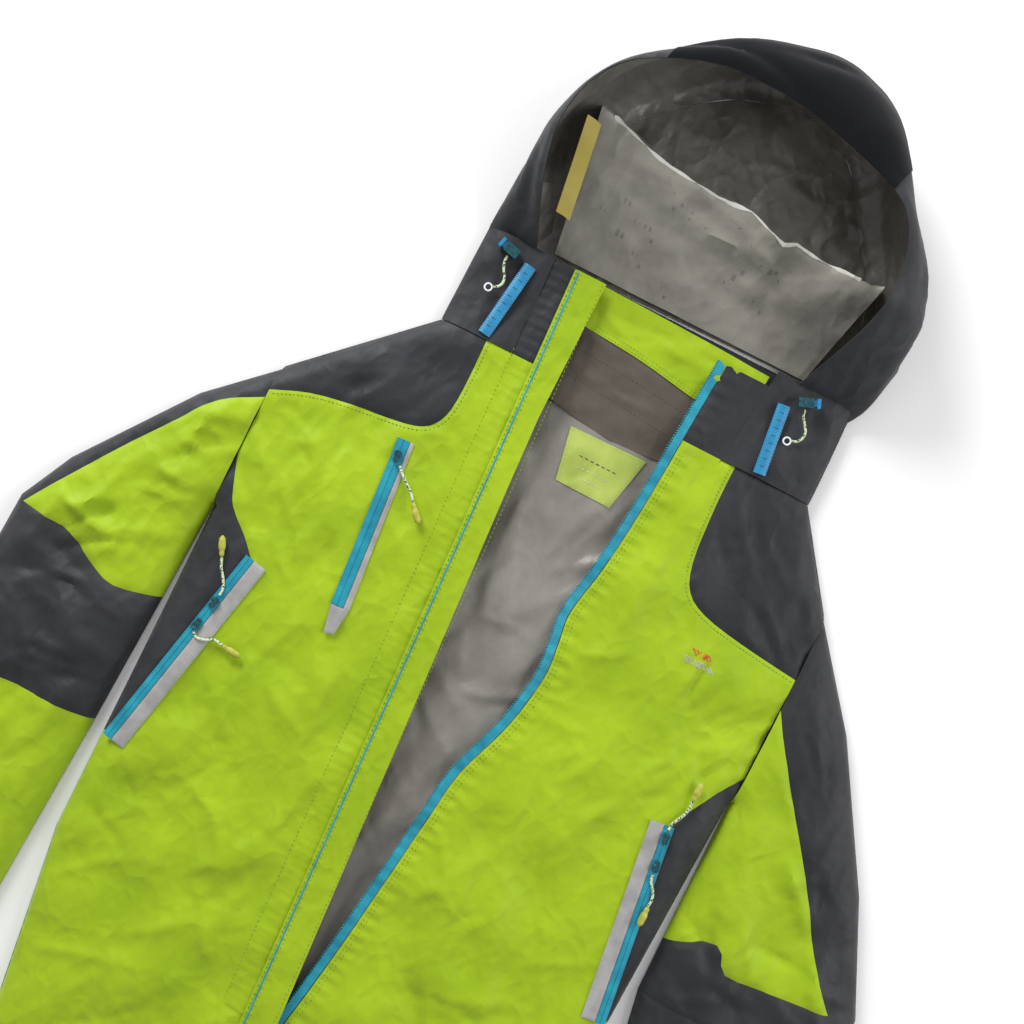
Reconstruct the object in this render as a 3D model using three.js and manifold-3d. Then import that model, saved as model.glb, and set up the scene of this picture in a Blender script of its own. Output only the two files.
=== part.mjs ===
// A hardshell jacket lying on its back, unzipped to the lower front, with its hood open.
// Millimetres. +X is the wearer's left, +Y points to the hood and +Z comes out of the front.
// The origin is on the outer face of the back panel, on the middle line at the chest.
import * as THREE from 'three';
import { mergeVertices } from 'three/addons/utils/BufferGeometryUtils.js';
import Module from 'manifold-3d';

// Cloth and clearances
const shell = 1.6; // outer fabric with its membrane and seam tape
const lining = 1.0; // mesh and taffeta layers
const gap = 0.3; // between pieces that touch
const seamGap = 0.6; // between panels that fold against each other

// Lengths along the jacket, from the chest line
const hem = -512;
const zipEnd = -372; // the front is zipped together from here down
const neckSeam = 283;
const collarTop = 380;
const hoodSeam = collarTop + 0.5;

// Widths and heights
const rightArmhole = -298;
const leftArmhole = 256;
const rightNeck = -188;
const leftNeck = 196;
const loft = 22; // outer face of the fronts above the floor
const sleeveLoft = 26;
const shoulderDrop = 105; // from the neck point down to the top of the armhole
const underarm = 40;

// Hood, a bowl that opens upwards
const hoodCentre = [10, 440];
const hoodHalfWidth = 197;
const hoodHalfLength = 210;
const hoodFloorRadius = 120;
const hoodHalfHeight = 55;
const rimAngle = 150; // degrees round from the floor to the rim
const brimSpan = 38; // degrees to each side of the crown

// Zips
const tapeThickness = 1.0;
const chestZipWidth = 12;
const sideZipWidth = 9;
const frontTape = 8.5; // tape that shows beside the front edge
const flapWidth = 33;
const sliderLength = 11;
const sliderWidth = 7;
const sliderHeight = 3.4;
const pullCord = 2.6; // diameter
const hoodCord = 2.4;
const pullEndLength = 20;
const pullEndRadius = 3.5;

// Cuffs
const cuffLength = 40;
const cuffLoft = 18;
const tabLength = 62;
const tabWidth = 26;
const cuffInset = 9; // in from each side of the wrist
const tabInset = 12; // in from the cuff's outer side

// Fold lines, each from the collar's top edge to the end of the open zip
const rightFold = [[-118, collarTop], [-78, zipEnd]];
const leftFold = [[113, collarTop], [27, zipEnd]];
const flapSeam = [[-97, collarTop], [-51, hem]];

const wasm = await Module();
wasm.setup();
const jacket = new THREE.Group();

const finish = {
  lime: { color: 0x9cc21c, roughness: 0.62, metalness: 0 },
  charcoal: { color: 0x3f4145, roughness: 0.6, metalness: 0 },
  black: { color: 0x101218, roughness: 0.8, metalness: 0 },
  grey: { color: 0x7d776d, roughness: 0.75, metalness: 0 },
  blue: { color: 0x1c92c8, roughness: 0.5, metalness: 0 },
  turquoise: { color: 0x1598ad, roughness: 0.5, metalness: 0 },
  silver: { color: 0xa9a5a2, roughness: 0.45, metalness: 0.2 },
  olive: { color: 0xb1b53a, roughness: 0.55, metalness: 0 },
  pale: { color: 0xc9d2b4, roughness: 0.8, metalness: 0 },
  zinc: { color: 0x2c5560, roughness: 0.4, metalness: 0.5 },
};

function add(name, colour, geometry) {
  const mesh = new THREE.Mesh(geometry, new THREE.MeshStandardMaterial(finish[colour]));
  mesh.name = name;
  jacket.add(mesh);
  return mesh;
}

// Solids and booleans
function solid(geometry) {
  const bare = geometry.index ? geometry.toNonIndexed() : geometry.clone();
  bare.deleteAttribute('normal');
  bare.deleteAttribute('uv');
  const merged = mergeVertices(bare, 1e-4);
  return new wasm.Manifold(new wasm.Mesh({
    numProp: 3,
    vertProperties: new Float32Array(merged.attributes.position.array),
    triVerts: new Uint32Array(merged.index.array),
  }));
}

function shape(body) {
  const mesh = body.getMesh();
  const geometry = new THREE.BufferGeometry();
  geometry.setAttribute('position', new THREE.BufferAttribute(mesh.vertProperties, 3));
  geometry.setIndex(new THREE.BufferAttribute(mesh.triVerts, 1));
  return geometry;
}

function prism(points, low, high) {
  const outline = new THREE.Shape(points.map(([x, y]) => new THREE.Vector2(x, y)));
  const body = new THREE.ExtrudeGeometry(outline, { depth: high - low, bevelEnabled: false });
  return body.translate(0, 0, low);
}

const layer = (points, low, thickness) => prism(points, low, low + thickness);

function join(first, ...rest) {
  return shape(rest.reduce((sum, next) => sum.add(solid(next)), solid(first)));
}

// Outlines
const mix = (a, b, t) => [a[0] + (b[0] - a[0]) * t, a[1] + (b[1] - a[1]) * t];
const xAt = ([a, b], y) => a[0] + (b[0] - a[0]) * (y - a[1]) / (b[1] - a[1]);
const shifted = (points, dx, dy = 0) => points.map(([x, y]) => [x + dx, y + dy]);

function arc(x, y, rx, ry, from, to, steps) {
  return Array.from({ length: steps + 1 }, (_, i) => {
    const angle = THREE.MathUtils.degToRad(from + (to - from) * i / steps);
    return [x + rx * Math.cos(angle), y + ry * Math.sin(angle)];
  });
}

// A straight band from a to b, between two distances to the left of that line
function band(a, b, near, far) {
  const length = Math.hypot(b[0] - a[0], b[1] - a[1]);
  const left = [-(b[1] - a[1]) / length, (b[0] - a[0]) / length];
  const side = (p, d) => [p[0] + left[0] * d, p[1] + left[1] * d];
  return [side(a, near), side(b, near), side(b, far), side(a, far)];
}

// An anticlockwise outline with each edge moved inwards by its own distance
function inset(points, distances) {
  const count = points.length;
  const edge = (i) => {
    const a = points[i];
    const b = points[(i + 1) % count];
    const length = Math.hypot(b[0] - a[0], b[1] - a[1]);
    const normal = [-(b[1] - a[1]) / length, (b[0] - a[0]) / length];
    return [normal, normal[0] * a[0] + normal[1] * a[1] + distances[i]];
  };
  return points.map((_, i) => {
    const [m, p] = edge((i + count - 1) % count);
    const [n, q] = edge(i);
    const det = m[0] * n[1] - m[1] * n[0];
    return [(p * n[1] - q * m[1]) / det, (m[0] * q - n[0] * p) / det];
  });
}

// A flat cloth tube: floor, roof and walls, with a mouth along each edge that is listed
function tube(points, open, height) {
  const inner = inset(points, points.map(() => shell));
  let cavity = solid(prism(inner, shell, height - shell));
  for (const i of open) {
    const [a, b] = [points[i], points[(i + 1) % points.length]];
    const margin = 2 * shell / Math.hypot(b[0] - a[0], b[1] - a[1]);
    const mouth = band(mix(a, b, margin), mix(a, b, 1 - margin), -shell, 2 * shell);
    cavity = cavity.add(solid(prism(mouth, shell, height - shell)));
  }
  return solid(prism(points, 0, height)).subtract(cavity);
}

// Back of the body
const rightHem = rightArmhole + 34;
const leftHem = leftArmhole - 14;
const rightShoulder = [rightArmhole, neckSeam - shoulderDrop];
const leftShoulder = [leftArmhole, neckSeam - 0.8 * shoulderDrop];
const rightWaist = [rightArmhole + 4, -300];
const leftWaist = [leftArmhole - 10, -300];
const backOutline = [
  [rightNeck, neckSeam], rightShoulder, [rightArmhole, underarm], rightWaist, [rightHem, hem],
  [leftHem, hem], leftWaist, [leftArmhole, underarm], leftShoulder, [leftNeck, neckSeam],
];
const wallInset = shell + gap;
const liningTop = 262;
const liningLow = shell + gap;
const liningHigh = liningLow + lining;

add('back_panel', 'charcoal', layer(backOutline, 0, shell));
const liningOutline = inset(backOutline, [4, 3, 3, 3, 3, 3, 3, 3, 4, neckSeam - liningTop]);
add('back_lining', 'grey', layer(liningOutline, liningLow, lining));
add('neck_label', 'lime', layer(
  [[-25, 198], [31, 197], [43, 251], [-35, 249]],
  liningHigh + gap, 0.6,
));
const collarSeam = neckSeam + seamGap;
add('collar_back', 'charcoal', layer([
  [rightNeck, collarSeam], [leftNeck, collarSeam],
  [leftNeck - 4, collarTop], [rightNeck + 2, collarTop],
], 0, shell));

// Yokes, fronts and side panels lie over the back and come down to it along the outer edges
const under = loft - shell;
const rightYokeTop = -140; // where each yoke's inner edge meets the neck seam
const leftYokeTop = 117;
const rightYokeEdge = [
  [rightArmhole, 150], [-225, 174], [-170, 180],
  ...arc(-170, 211, 30, 30, -70, 0, 3), [rightYokeTop, neckSeam],
];
const leftYokeEdge = [
  [leftArmhole, 133], [185, 140],
  ...arc(157, 186, 38, 40, -95, -180, 3), [leftYokeTop, neckSeam],
];
const shoulderWall = (a, b, near, far) => prism(band(a, b, near, far), shell + gap, loft);

add('right_yoke', 'charcoal', join(
  layer([...rightYokeEdge, [rightNeck, neckSeam], rightShoulder], under, shell),
  shoulderWall([rightNeck, neckSeam], rightShoulder, 0, shell),
));
add('left_yoke', 'charcoal', join(
  layer([[leftNeck, neckSeam], ...leftYokeEdge.slice().reverse(), leftShoulder].reverse(), under, shell),
  shoulderWall(leftShoulder, [leftNeck, neckSeam], 0, shell),
));

const rightSideZip = [[-243, 6], [-286, -200]];
const leftSideZip = [[213, -39], [238, -230]];
const zipLine = [[-28, zipEnd], [-24, hem]];
const sideTop = 38; // top of the right side panel
const leftSideTop = sideTop - 40;
const rightEdgeAt = (y) => (y > rightWaist[1]
  ? xAt([[rightArmhole, underarm], rightWaist], y)
  : xAt([rightWaist, [rightHem, hem]], y));
const leftEdgeAt = (y) => (y > leftWaist[1]
  ? xAt([[leftArmhole, underarm], leftWaist], y)
  : xAt([leftWaist, [leftHem, hem]], y));

// Each front runs from its fold line to the armhole, the side zip and the side seam
const half = frontTape / 2;
add('right_front_panel', 'lime', layer([
  ...shifted(rightYokeEdge, 0, -gap).slice(0, -1),
  [rightYokeTop + gap, neckSeam - gap], [xAt(rightFold, neckSeam) - seamGap, neckSeam - gap],
  [xAt(rightFold, zipEnd) - seamGap, zipEnd - gap], [zipLine[0][0] - half, zipEnd - gap],
  [zipLine[1][0] - half, hem],
  [rightHem + wallInset, hem], [rightWaist[0] + wallInset, rightWaist[1]],
  [rightEdgeAt(rightSideZip[1][1]) + wallInset, rightSideZip[1][1] - gap],
  [rightSideZip[1][0] + gap, rightSideZip[1][1] - gap], [rightSideZip[0][0] + gap, rightSideZip[0][1]],
  [rightArmhole + wallInset, sideTop + gap],
].reverse(), under, shell));
add('left_front_panel', 'lime', layer([
  ...shifted(leftYokeEdge, 0, -gap).slice(0, -1),
  [leftYokeTop - gap, neckSeam - gap], [xAt(leftFold, neckSeam) + seamGap, neckSeam - gap],
  [xAt(leftFold, zipEnd) + seamGap, zipEnd - gap], [zipLine[0][0] + half, zipEnd - gap],
  [zipLine[1][0] + half, hem],
  [leftHem - wallInset, hem], [leftWaist[0] - wallInset, leftWaist[1]],
  [leftEdgeAt(leftSideZip[1][1]) - wallInset, leftSideZip[1][1] - gap],
  [leftSideZip[1][0] - gap, leftSideZip[1][1] - gap], [leftSideZip[0][0] - gap, leftSideZip[0][1]],
  [leftArmhole - wallInset, leftSideTop + gap],
], under, shell));

function sideWall(points, inward) {
  const back = points.map(([x, y]) => [x + inward, y]).reverse();
  return prism([...points, ...back], shell + gap, loft);
}
add('right_side_panel', 'charcoal', join(
  layer([
    [rightArmhole, sideTop], [rightEdgeAt(rightSideZip[1][1]), rightSideZip[1][1]],
    rightSideZip[1], rightSideZip[0],
  ], under, shell),
  sideWall([[rightArmhole, sideTop], rightWaist, [rightHem, hem]], shell),
));
add('left_side_panel', 'charcoal', join(
  layer([
    [leftArmhole, leftSideTop], leftSideZip[0], leftSideZip[1],
    [leftEdgeAt(leftSideZip[1][1]), leftSideZip[1][1]],
  ], under, shell),
  sideWall([[leftArmhole, leftSideTop], leftWaist, [leftHem, hem]], -shell),
));

// Collar sides stand beside the neck and carry the hood's adjusters
add('right_collar_side', 'charcoal', join(
  layer([
    [rightNeck, collarSeam], [xAt(rightFold, collarSeam) - seamGap, collarSeam],
    [rightFold[0][0] - seamGap, collarTop], [rightNeck + 2, collarTop],
  ], under, shell),
  sideWall([[rightNeck, collarSeam], [rightNeck + 2, collarTop]], shell),
));
add('left_collar_side', 'charcoal', join(
  layer([
    [xAt(leftFold, collarSeam) + seamGap, collarSeam], [leftNeck, collarSeam],
    [leftNeck - 4, collarTop], [leftFold[0][0] + seamGap, collarTop],
  ], under, shell),
  sideWall([[leftNeck, collarSeam], [leftNeck - 4, collarTop]], -shell),
));

// Front edges with the collar's front corners. Each folds back like a lapel.
const edgeTop = collarTop - 2;
const leftEdgeTop = edgeTop - 14;
const rightEdge = [[-73, edgeTop], [-74, 230], [-46, zipEnd + seamGap]];
const leftEdge = [
  [68, leftEdgeTop], [58, 200], [42, 95], [50, 35], [38, -30], [18, -85], [6, -190],
  [-22, zipEnd + seamGap],
];
add('right_front_edge', 'lime', layer([
  [xAt(rightFold, edgeTop), edgeTop], [xAt(rightFold, zipEnd + seamGap), zipEnd + seamGap],
  ...rightEdge.slice().reverse(),
], under, shell));
add('left_front_edge', 'lime', layer([
  ...leftEdge, [xAt(leftFold, zipEnd + seamGap), zipEnd + seamGap],
  [xAt(leftFold, leftEdgeTop), leftEdgeTop],
], under, shell));
const tapeIn = shifted(leftEdge, -gap);
const tapeOut = shifted(leftEdge, gap - frontTape);
tapeOut[tapeOut.length - 1][0] = zipLine[0][0] + gap;
add('left_zip_tape', 'turquoise', layer([...tapeOut, ...tapeIn.reverse()], under, tapeThickness));

// The storm flap is sewn along its outer seam and covers the zip
const flapLow = loft + 2.8;
const flapFoot = 4; // width of its seam
const flapTop = flapLow + shell;
const flapFree = [
  [flapSeam[0][0] + flapWidth, edgeTop], [flapSeam[0][0] + flapWidth - 1, 210],
  [xAt(flapSeam, zipEnd) + flapWidth, zipEnd], [flapSeam[1][0] + flapWidth + 4, hem],
];
add('storm_flap', 'lime', join(
  layer([[xAt(flapSeam, edgeTop), edgeTop], flapSeam[1], ...flapFree.slice().reverse()], flapLow, shell),
  prism(band([xAt(flapSeam, edgeTop), edgeTop], flapSeam[1], 0, flapFoot), loft + gap, flapLow + 0.5),
));

// Zipped part of the front, with its slider and pull
add('closed_zip', 'turquoise', layer([
  [zipLine[0][0] - half + gap, zipEnd - gap], [zipLine[1][0] - half + gap, hem],
  [zipLine[1][0] + half - gap, hem], [zipLine[0][0] + half - gap, zipEnd - gap],
], under, tapeThickness));

// A slider is a wedge that narrows towards its tail
function sliderAt(at, towards, low, width = sliderWidth) {
  const nose = sliderLength / 2;
  const wide = width / 2;
  const outline = [
    [-nose, -wide * 0.6], [nose - 2, -wide], [nose, -wide * 0.5],
    [nose, wide * 0.5], [nose - 2, wide], [-nose, wide * 0.6],
  ];
  const body = prism(outline, 0, sliderHeight);
  body.rotateZ(Math.atan2(towards[1] - at[1], towards[0] - at[0]));
  return body.translate(at[0], at[1], low);
}
const onTape = under + tapeThickness + gap;
// The main slider and pull lie under the flap, so they are flatter than the others
const flatten = 0.55;
const mainPull = [37, 6, 0.5]; // length, width, thickness
const mainSliderAt = [zipLine[0][0] + 0.3, zipEnd - 10];
const mainSlider = sliderAt(mainSliderAt, zipLine[0], 0, frontTape - 1.5).scale(1, 1, flatten);
add('main_slider', 'zinc', mainSlider.translate(0, 0, onTape));
const mainPullLow = onTape + flatten * sliderHeight + 0.1;
const mainPullTop = [mainSliderAt[0], zipEnd - 5];
add('main_pull', 'olive', layer(
  band(mainPullTop, [mainPullTop[0] + 0.8, mainPullTop[1] - mainPull[0]], -mainPull[1] / 2, mainPull[1] / 2),
  mainPullLow, mainPull[2],
));

// Pulls: a short cord from the slider to a moulded end, lying on the cloth
const cordSection = new THREE.Shape(arc(0, 0, pullCord / 2, pullCord / 2, 0, 315, 7)
  .map(([x, y]) => new THREE.Vector2(x, y)));
const hoodCordSection = new THREE.Shape(arc(0, 0, hoodCord / 2, hoodCord / 2, 0, 315, 7)
  .map(([x, y]) => new THREE.Vector2(x, y)));

function cordAlong(points, height, section, steps) {
  const path = new THREE.CatmullRomCurve3(points.map(([x, y, z = height]) => new THREE.Vector3(x, y, z)));
  return new THREE.ExtrudeGeometry(section, { steps, extrudePath: path });
}

function pullEnd(points, height) {
  const [tail, tip] = points.slice(-2);
  const direction = Math.atan2(tip[1] - tail[1], tip[0] - tail[0]);
  const radius = pullEndRadius;
  const profile = [
    [0, 0], [radius * 0.55, 0], [radius * 0.8, 4], [radius, pullEndLength * 0.5],
    [radius * 0.9, pullEndLength - 3], [radius * 0.5, pullEndLength], [0, pullEndLength],
  ].map(([x, y]) => new THREE.Vector2(x, y));
  const body = new THREE.LatheGeometry(profile, 8);
  body.rotateZ(-Math.PI / 2);
  body.scale(1, 1, 0.8);
  body.rotateZ(direction);
  const start = [tip[0] + gap * Math.cos(direction), tip[1] + gap * Math.sin(direction)];
  return body.translate(start[0], start[1], height);
}

const tapeLow = loft + gap;
const sliderLow = tapeLow + tapeThickness + gap;
const cordHeight = tapeLow + tapeThickness + gap + pullCord / 2;
const pullHeight = cordHeight + 1.4;

// One zip with its backing welt, sliders and pulls
function zipSet(name, line, width, welt) {
  const [top, bottom] = line;
  add(`${name}_zip`, 'turquoise', layer(band(top, bottom, -width / 2, width / 2), tapeLow, tapeThickness));
  add(`${name}_welt`, 'silver', layer(welt, tapeLow, tapeThickness));
}
function runner(name, at, towards, route) {
  add(`${name}_slider`, 'zinc', sliderAt(at, towards, sliderLow));
  add(`${name}_pull_cord`, 'pale', cordAlong(route, cordHeight, cordSection, 7));
  add(`${name}_pull_end`, 'olive', pullEnd(route, pullHeight));
}

const chestZip = [[-166, 167], [-152, 3]];
const chestTail = mix(...chestZip, 1.17);
const chestFoot = band(...chestZip, -chestZipWidth / 2, chestZipWidth / 2 + gap);
zipSet('chest', chestZip, chestZipWidth, [
  band(...chestZip, chestZipWidth / 2 + gap, 0)[0], chestFoot[2], [chestFoot[2][0], chestFoot[2][1] - gap],
  [chestFoot[1][0], chestFoot[1][1] - gap], [chestTail[0] - 2, chestTail[1]],
  [chestTail[0] + 7, chestTail[1] + 3],
  [chestFoot[2][0] + 6, chestFoot[2][1]], [chestFoot[3][0] + 4, chestFoot[3][1]],
]);

runner('chest', mix(...chestZip, 0.1), chestZip[0], [
  [-158.5, 143.5], [-154, 139], [-147, 133], [-139, 127], [-132, 119],
]);

const weltWidth = 14;
const weltNear = sideZipWidth / 2 + gap;
const weltFar = sideZipWidth / 2 + weltWidth;
const rightWelt = band(...rightSideZip, weltNear, weltFar);
zipSet('right_side', rightSideZip, sideZipWidth, rightWelt);
runner('right_upper', mix(...rightSideZip, 0.25), rightSideZip[0], [
  [-252, -37], [-252, -31], [-256, -22], [-262, -14], [-266, -5],
]);
runner('right_lower', mix(...rightSideZip, 0.37), rightSideZip[1], [
  [-258.5, -77.5], [-254, -81], [-246, -80], [-238, -76], [-229, -77],
]);

const leftWelt = band(...leftSideZip, -weltFar, -weltNear);
zipSet('left_side', leftSideZip, sideZipWidth, leftWelt);
runner('left_upper', mix(...leftSideZip, 0.06), leftSideZip[0], [
  [213, -42], [214, -35], [218, -27], [221, -18], [221, -9],
]);
runner('left_lower', mix(...leftSideZip, 0.2), leftSideZip[1], [
  [219, -85.5], [220.6, -92], [225.3, -98], [228.2, -105], [228.2, -113],
]);

// Sleeves: flat cloth tubes cut into their panels, then the cuff and its tab
function sleeve(side, sign, upper, lower, panel, forearmColour) {
  const turn = (points) => (sign < 0 ? points.slice().reverse() : points);
  const whole = (points, ends, height) => {
    const open = sign < 0 ? ends.map((i) => points.length - 2 - i) : ends;
    return tube(turn(points), open.map((i) => (i + points.length) % points.length), height);
  };
  const upperSolid = whole(upper, [1, upper.length - 1], sleeveLoft);
  const region = turn(panel);
  const cutLow = sleeveLoft * 0.45;
  const panelCut = solid(prism(region, cutLow, sleeveLoft + shell));
  const roomCut = solid(prism(inset(region, region.map(() => -gap)), cutLow - gap, sleeveLoft + shell));
  add(`${side}_sleeve_panel`, 'lime', shape(upperSolid.intersect(panelCut)));
  add(`${side}_sleeve_outer`, 'charcoal', shape(upperSolid.subtract(roomCut)));
  add(`${side}_forearm`, forearmColour, shape(whole(lower, [1, 3], sleeveLoft)));

  const [wristIn, wristOut] = [lower[1], lower[2]];
  const cuffTop = wristIn[1] - gap;
  const inner = wristIn[0] + sign * cuffInset;
  const outer = wristOut[0] - sign * cuffInset;
  const cuffEnd = cuffTop - cuffLength;
  const cuff = [[inner, cuffTop], [inner, cuffEnd], [outer, cuffEnd], [outer, cuffTop]];
  add(`${side}_cuff`, 'charcoal', shape(whole(cuff, [1, 3], cuffLoft)));
  const start = outer - sign * tabInset;
  const middle = cuffTop - cuffLength / 2;
  add(`${side}_cuff_tab`, 'black', layer([
    [start, middle + tabWidth / 2], [start - sign * tabLength, middle + tabWidth / 2 - 3],
    [start - sign * tabLength, middle - tabWidth / 2 + 3], [start, middle - tabWidth / 2],
  ], cuffLoft + gap, shell));
}

const from = (x, ...points) => shifted(points, x);

// Each outline starts at the armhole and goes down the inner side, round the end and back
const wrist = -425;
const leftWrist = wrist - 50; // the left sleeve lies straighter
const sleeveGap = 0.5; // from the armhole seam to the sleeve
const rightTop = rightArmhole - sleeveGap;
const rightCut = -196;
sleeve('right', -1,
  [
    ...from(rightTop, [0, underarm - 8], [-8.5, rightCut + gap], [-171.5, rightCut + gap]),
    ...from(rightTop, [-164.5, -40], [-138.5, 12], [-58.5, 120], [0, rightShoulder[1] - 3]),
  ],
  from(rightTop, [-8.5, rightCut], [-19.5, wrist], [-153.5, wrist], [-171.5, rightCut]),
  from(
    rightTop, [5, -66], [-45.5, -72], [-101.5, -48], [-153.5, -44], [-119.5, 8],
    [-62.5, 88], [-28.5, 128], [5, 142],
  ), 'lime');
const leftTop = leftArmhole + sleeveGap;
const leftCut = -190;
sleeve('left', 1,
  [
    ...from(leftTop, [0, 4], [3, leftCut + gap], [201.5, leftCut + gap]),
    ...from(leftTop, [197.5, -125], [148.5, -21], [69.5, 108], [0, leftShoulder[1] - 3]),
  ],
  from(leftTop, [3, leftCut], [53.5, leftWrist], [185.5, leftWrist], [201.5, leftCut]),
  from(
    leftTop, [-5, -138], [45.5, -118], [61.5, -138], [159.5, -128], [121.5, -74],
    [67.5, 5], [20.5, 69], [-5, 98],
  ), 'charcoal');

// The hood is a bowl with a rim that curls in. It is cut back towards the collar.
function bowl(thickness) {
  const at = (degrees, out) => {
    const angle = THREE.MathUtils.degToRad(degrees);
    const side = hoodHalfWidth - hoodFloorRadius;
    return [
      hoodFloorRadius + (side + out) * Math.sin(angle),
      hoodHalfHeight - (hoodHalfHeight + out) * Math.cos(angle),
    ];
  };
  const steps = Array.from({ length: 8 }, (_, i) => rimAngle * i / 7);
  const outer = steps.map((degrees) => at(degrees, 0));
  const inner = steps.map((degrees) => at(degrees, -thickness)).reverse();
  const profile = [[0, outer[0][1]], ...outer, ...inner, [0, inner[inner.length - 1][1]]];
  const body = new THREE.LatheGeometry(profile.map(([x, y]) => new THREE.Vector2(x, y)), 28);
  body.rotateX(Math.PI / 2);
  body.scale(1, hoodHalfLength / hoodHalfWidth, 1);
  return solid(body.translate(hoodCentre[0], hoodCentre[1], 0));
}
const reach = 2 * hoodHalfLength;
const hoodCutLow = sleeveLoft;
const cutFoot = -10; // below the hood's floor
// Upright at the collar seam, then sloping away from it above the collar
const openSide = new THREE.ExtrudeGeometry(
  new THREE.Shape([
    [hoodSeam - reach, cutFoot], [hoodSeam, cutFoot], [hoodSeam, hoodCutLow],
    [hoodSeam + reach, hoodCutLow + reach], [hoodSeam - reach, hoodCutLow + reach],
  ].map(([y, z]) => new THREE.Vector2(y, z))),
  { depth: 2 * reach, bevelEnabled: false },
);
openSide.applyMatrix4(new THREE.Matrix4().set(0, 0, 1, -reach, 1, 0, 0, 0, 0, 1, 0, 0, 0, 0, 0, 1));
const hoodCut = solid(openSide);
add('hood_shell', 'charcoal', shape(bowl(shell + lining).subtract(hoodCut)));

const rimTop = hoodHalfHeight - hoodHalfHeight * Math.cos(THREE.MathUtils.degToRad(rimAngle));
const brimLow = rimTop + gap;
const brimRadii = [hoodHalfWidth - 6, hoodHalfLength - 4];
add('hood_brim', 'black', layer(
  arc(...hoodCentre, ...brimRadii, 90 - brimSpan, 90 + brimSpan, 12),
  brimLow, shell,
));

// Adjusters on the collar sides: a stitched tunnel, a cord lock with its button, and cord ends
const sideTopFace = loft + gap;
const stripHalfWidth = 6;
const stripThickness = 1.2;
function adjusterStrip(side, top, bottom) {
  const outline = band(top, bottom, -stripHalfWidth, stripHalfWidth);
  add(`${side}_adjuster_strip`, 'blue', layer(outline, sideTopFace, stripThickness));
}
adjusterStrip('right', [-135, 362], [-145, 287]);
adjusterStrip('left', [131, 354], [139, 287]);

const lockSize = [14, 9, 9];
const lockWall = 1.5;
const buttonTravel = 3;
const buttonHead = 3;
function cordLock(side, at, direction) {
  const [length, width, height] = lockSize;
  const place = (g) => {
    g.rotateZ(direction);
    return g.translate(at[0], at[1], sideTopFace + height / 2);
  };
  const slot = new THREE.BoxGeometry(length, width - 2 * lockWall, height - 2 * lockWall);
  slot.translate(lockWall, 0, 0);
  const body = solid(place(new THREE.BoxGeometry(length, width, height))).subtract(solid(place(slot)));
  add(`${side}_cord_lock`, 'zinc', shape(body));
  const stem = new THREE.BoxGeometry(
    length - lockWall - gap, width - 2 * lockWall - 2 * gap, height - 2 * lockWall - 2 * gap,
  );
  stem.translate(buttonTravel + gap + lockWall / 2 + gap / 2, 0, 0);
  const head = new THREE.BoxGeometry(buttonHead, width, height);
  head.translate(length / 2 + buttonTravel + gap + buttonHead / 2, 0, 0);
  add(`${side}_lock_button`, 'blue', join(place(stem), place(head)));
}
cordLock('right', [-156, 366], Math.PI * 0.92);
cordLock('left', [147, 364], Math.PI * 0.12);
const ringHeight = sideTopFace + 0.2 + hoodCord / 2;
add('right_hood_cord', 'pale', cordAlong([
  [-158, 360.5], [-158, 355], [-155, 347], [-151, 340], [-152, 333], [-158, 329],
], ringHeight, hoodCordSection, 10));
add('left_hood_cord', 'pale', cordAlong([
  [150, 358.8], [151, 353], [156, 346], [160, 338], [157, 330], [151, 327],
], ringHeight, hoodCordSection, 10));
export default jacket;
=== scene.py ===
import math

import bpy
import numpy as np
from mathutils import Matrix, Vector
from mathutils.geometry import delaunay_2d_cdt


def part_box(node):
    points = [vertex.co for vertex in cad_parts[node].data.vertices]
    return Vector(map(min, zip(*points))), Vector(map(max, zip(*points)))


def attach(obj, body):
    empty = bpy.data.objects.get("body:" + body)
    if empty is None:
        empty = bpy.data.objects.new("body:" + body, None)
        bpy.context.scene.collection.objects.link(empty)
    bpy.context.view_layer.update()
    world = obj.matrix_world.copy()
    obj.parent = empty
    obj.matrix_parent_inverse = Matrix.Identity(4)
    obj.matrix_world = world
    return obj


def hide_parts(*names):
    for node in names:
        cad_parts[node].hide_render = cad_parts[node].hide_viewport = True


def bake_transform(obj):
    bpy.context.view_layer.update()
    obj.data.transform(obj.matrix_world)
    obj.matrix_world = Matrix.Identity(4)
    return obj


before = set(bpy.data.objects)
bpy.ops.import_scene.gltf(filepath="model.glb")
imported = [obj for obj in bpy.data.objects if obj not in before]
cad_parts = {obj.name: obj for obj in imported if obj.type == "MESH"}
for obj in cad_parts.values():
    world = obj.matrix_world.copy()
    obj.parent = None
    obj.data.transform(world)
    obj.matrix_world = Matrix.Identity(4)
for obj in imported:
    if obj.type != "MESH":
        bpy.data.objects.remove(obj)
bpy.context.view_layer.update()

# ---------------------------------------------------------------- camera, floor and light
# The jacket lies on its back on a white studio floor, turned a little to one side, and is
# seen from straight above. Two large soft boxes and a bright room light it.
MM = 0.001
body_low, body_high = (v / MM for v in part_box("back_panel"))
collar_low, collar_high = (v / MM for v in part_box("right_collar_side"))
hood_low, hood_high = (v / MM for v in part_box("hood_shell"))
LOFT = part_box("right_front_panel")[1].z / MM
TURN = math.radians(27)
VIEW_WIDTH = 942
LENS = 50
SENSOR = 36
view_middle = Vector((-47.5, hood_high.y - 497, LOFT))

camera = bpy.data.objects.new("camera", bpy.data.cameras.new("camera"))
bpy.context.scene.collection.objects.link(camera)
camera.data.lens = LENS
camera.data.sensor_width = SENSOR
camera.data.clip_end = 20
camera.location = (view_middle + Vector((0, 0, VIEW_WIDTH * LENS / SENSOR))) * MM
camera.rotation_euler = (0, 0, TURN)
bpy.context.scene.camera = camera


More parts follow.
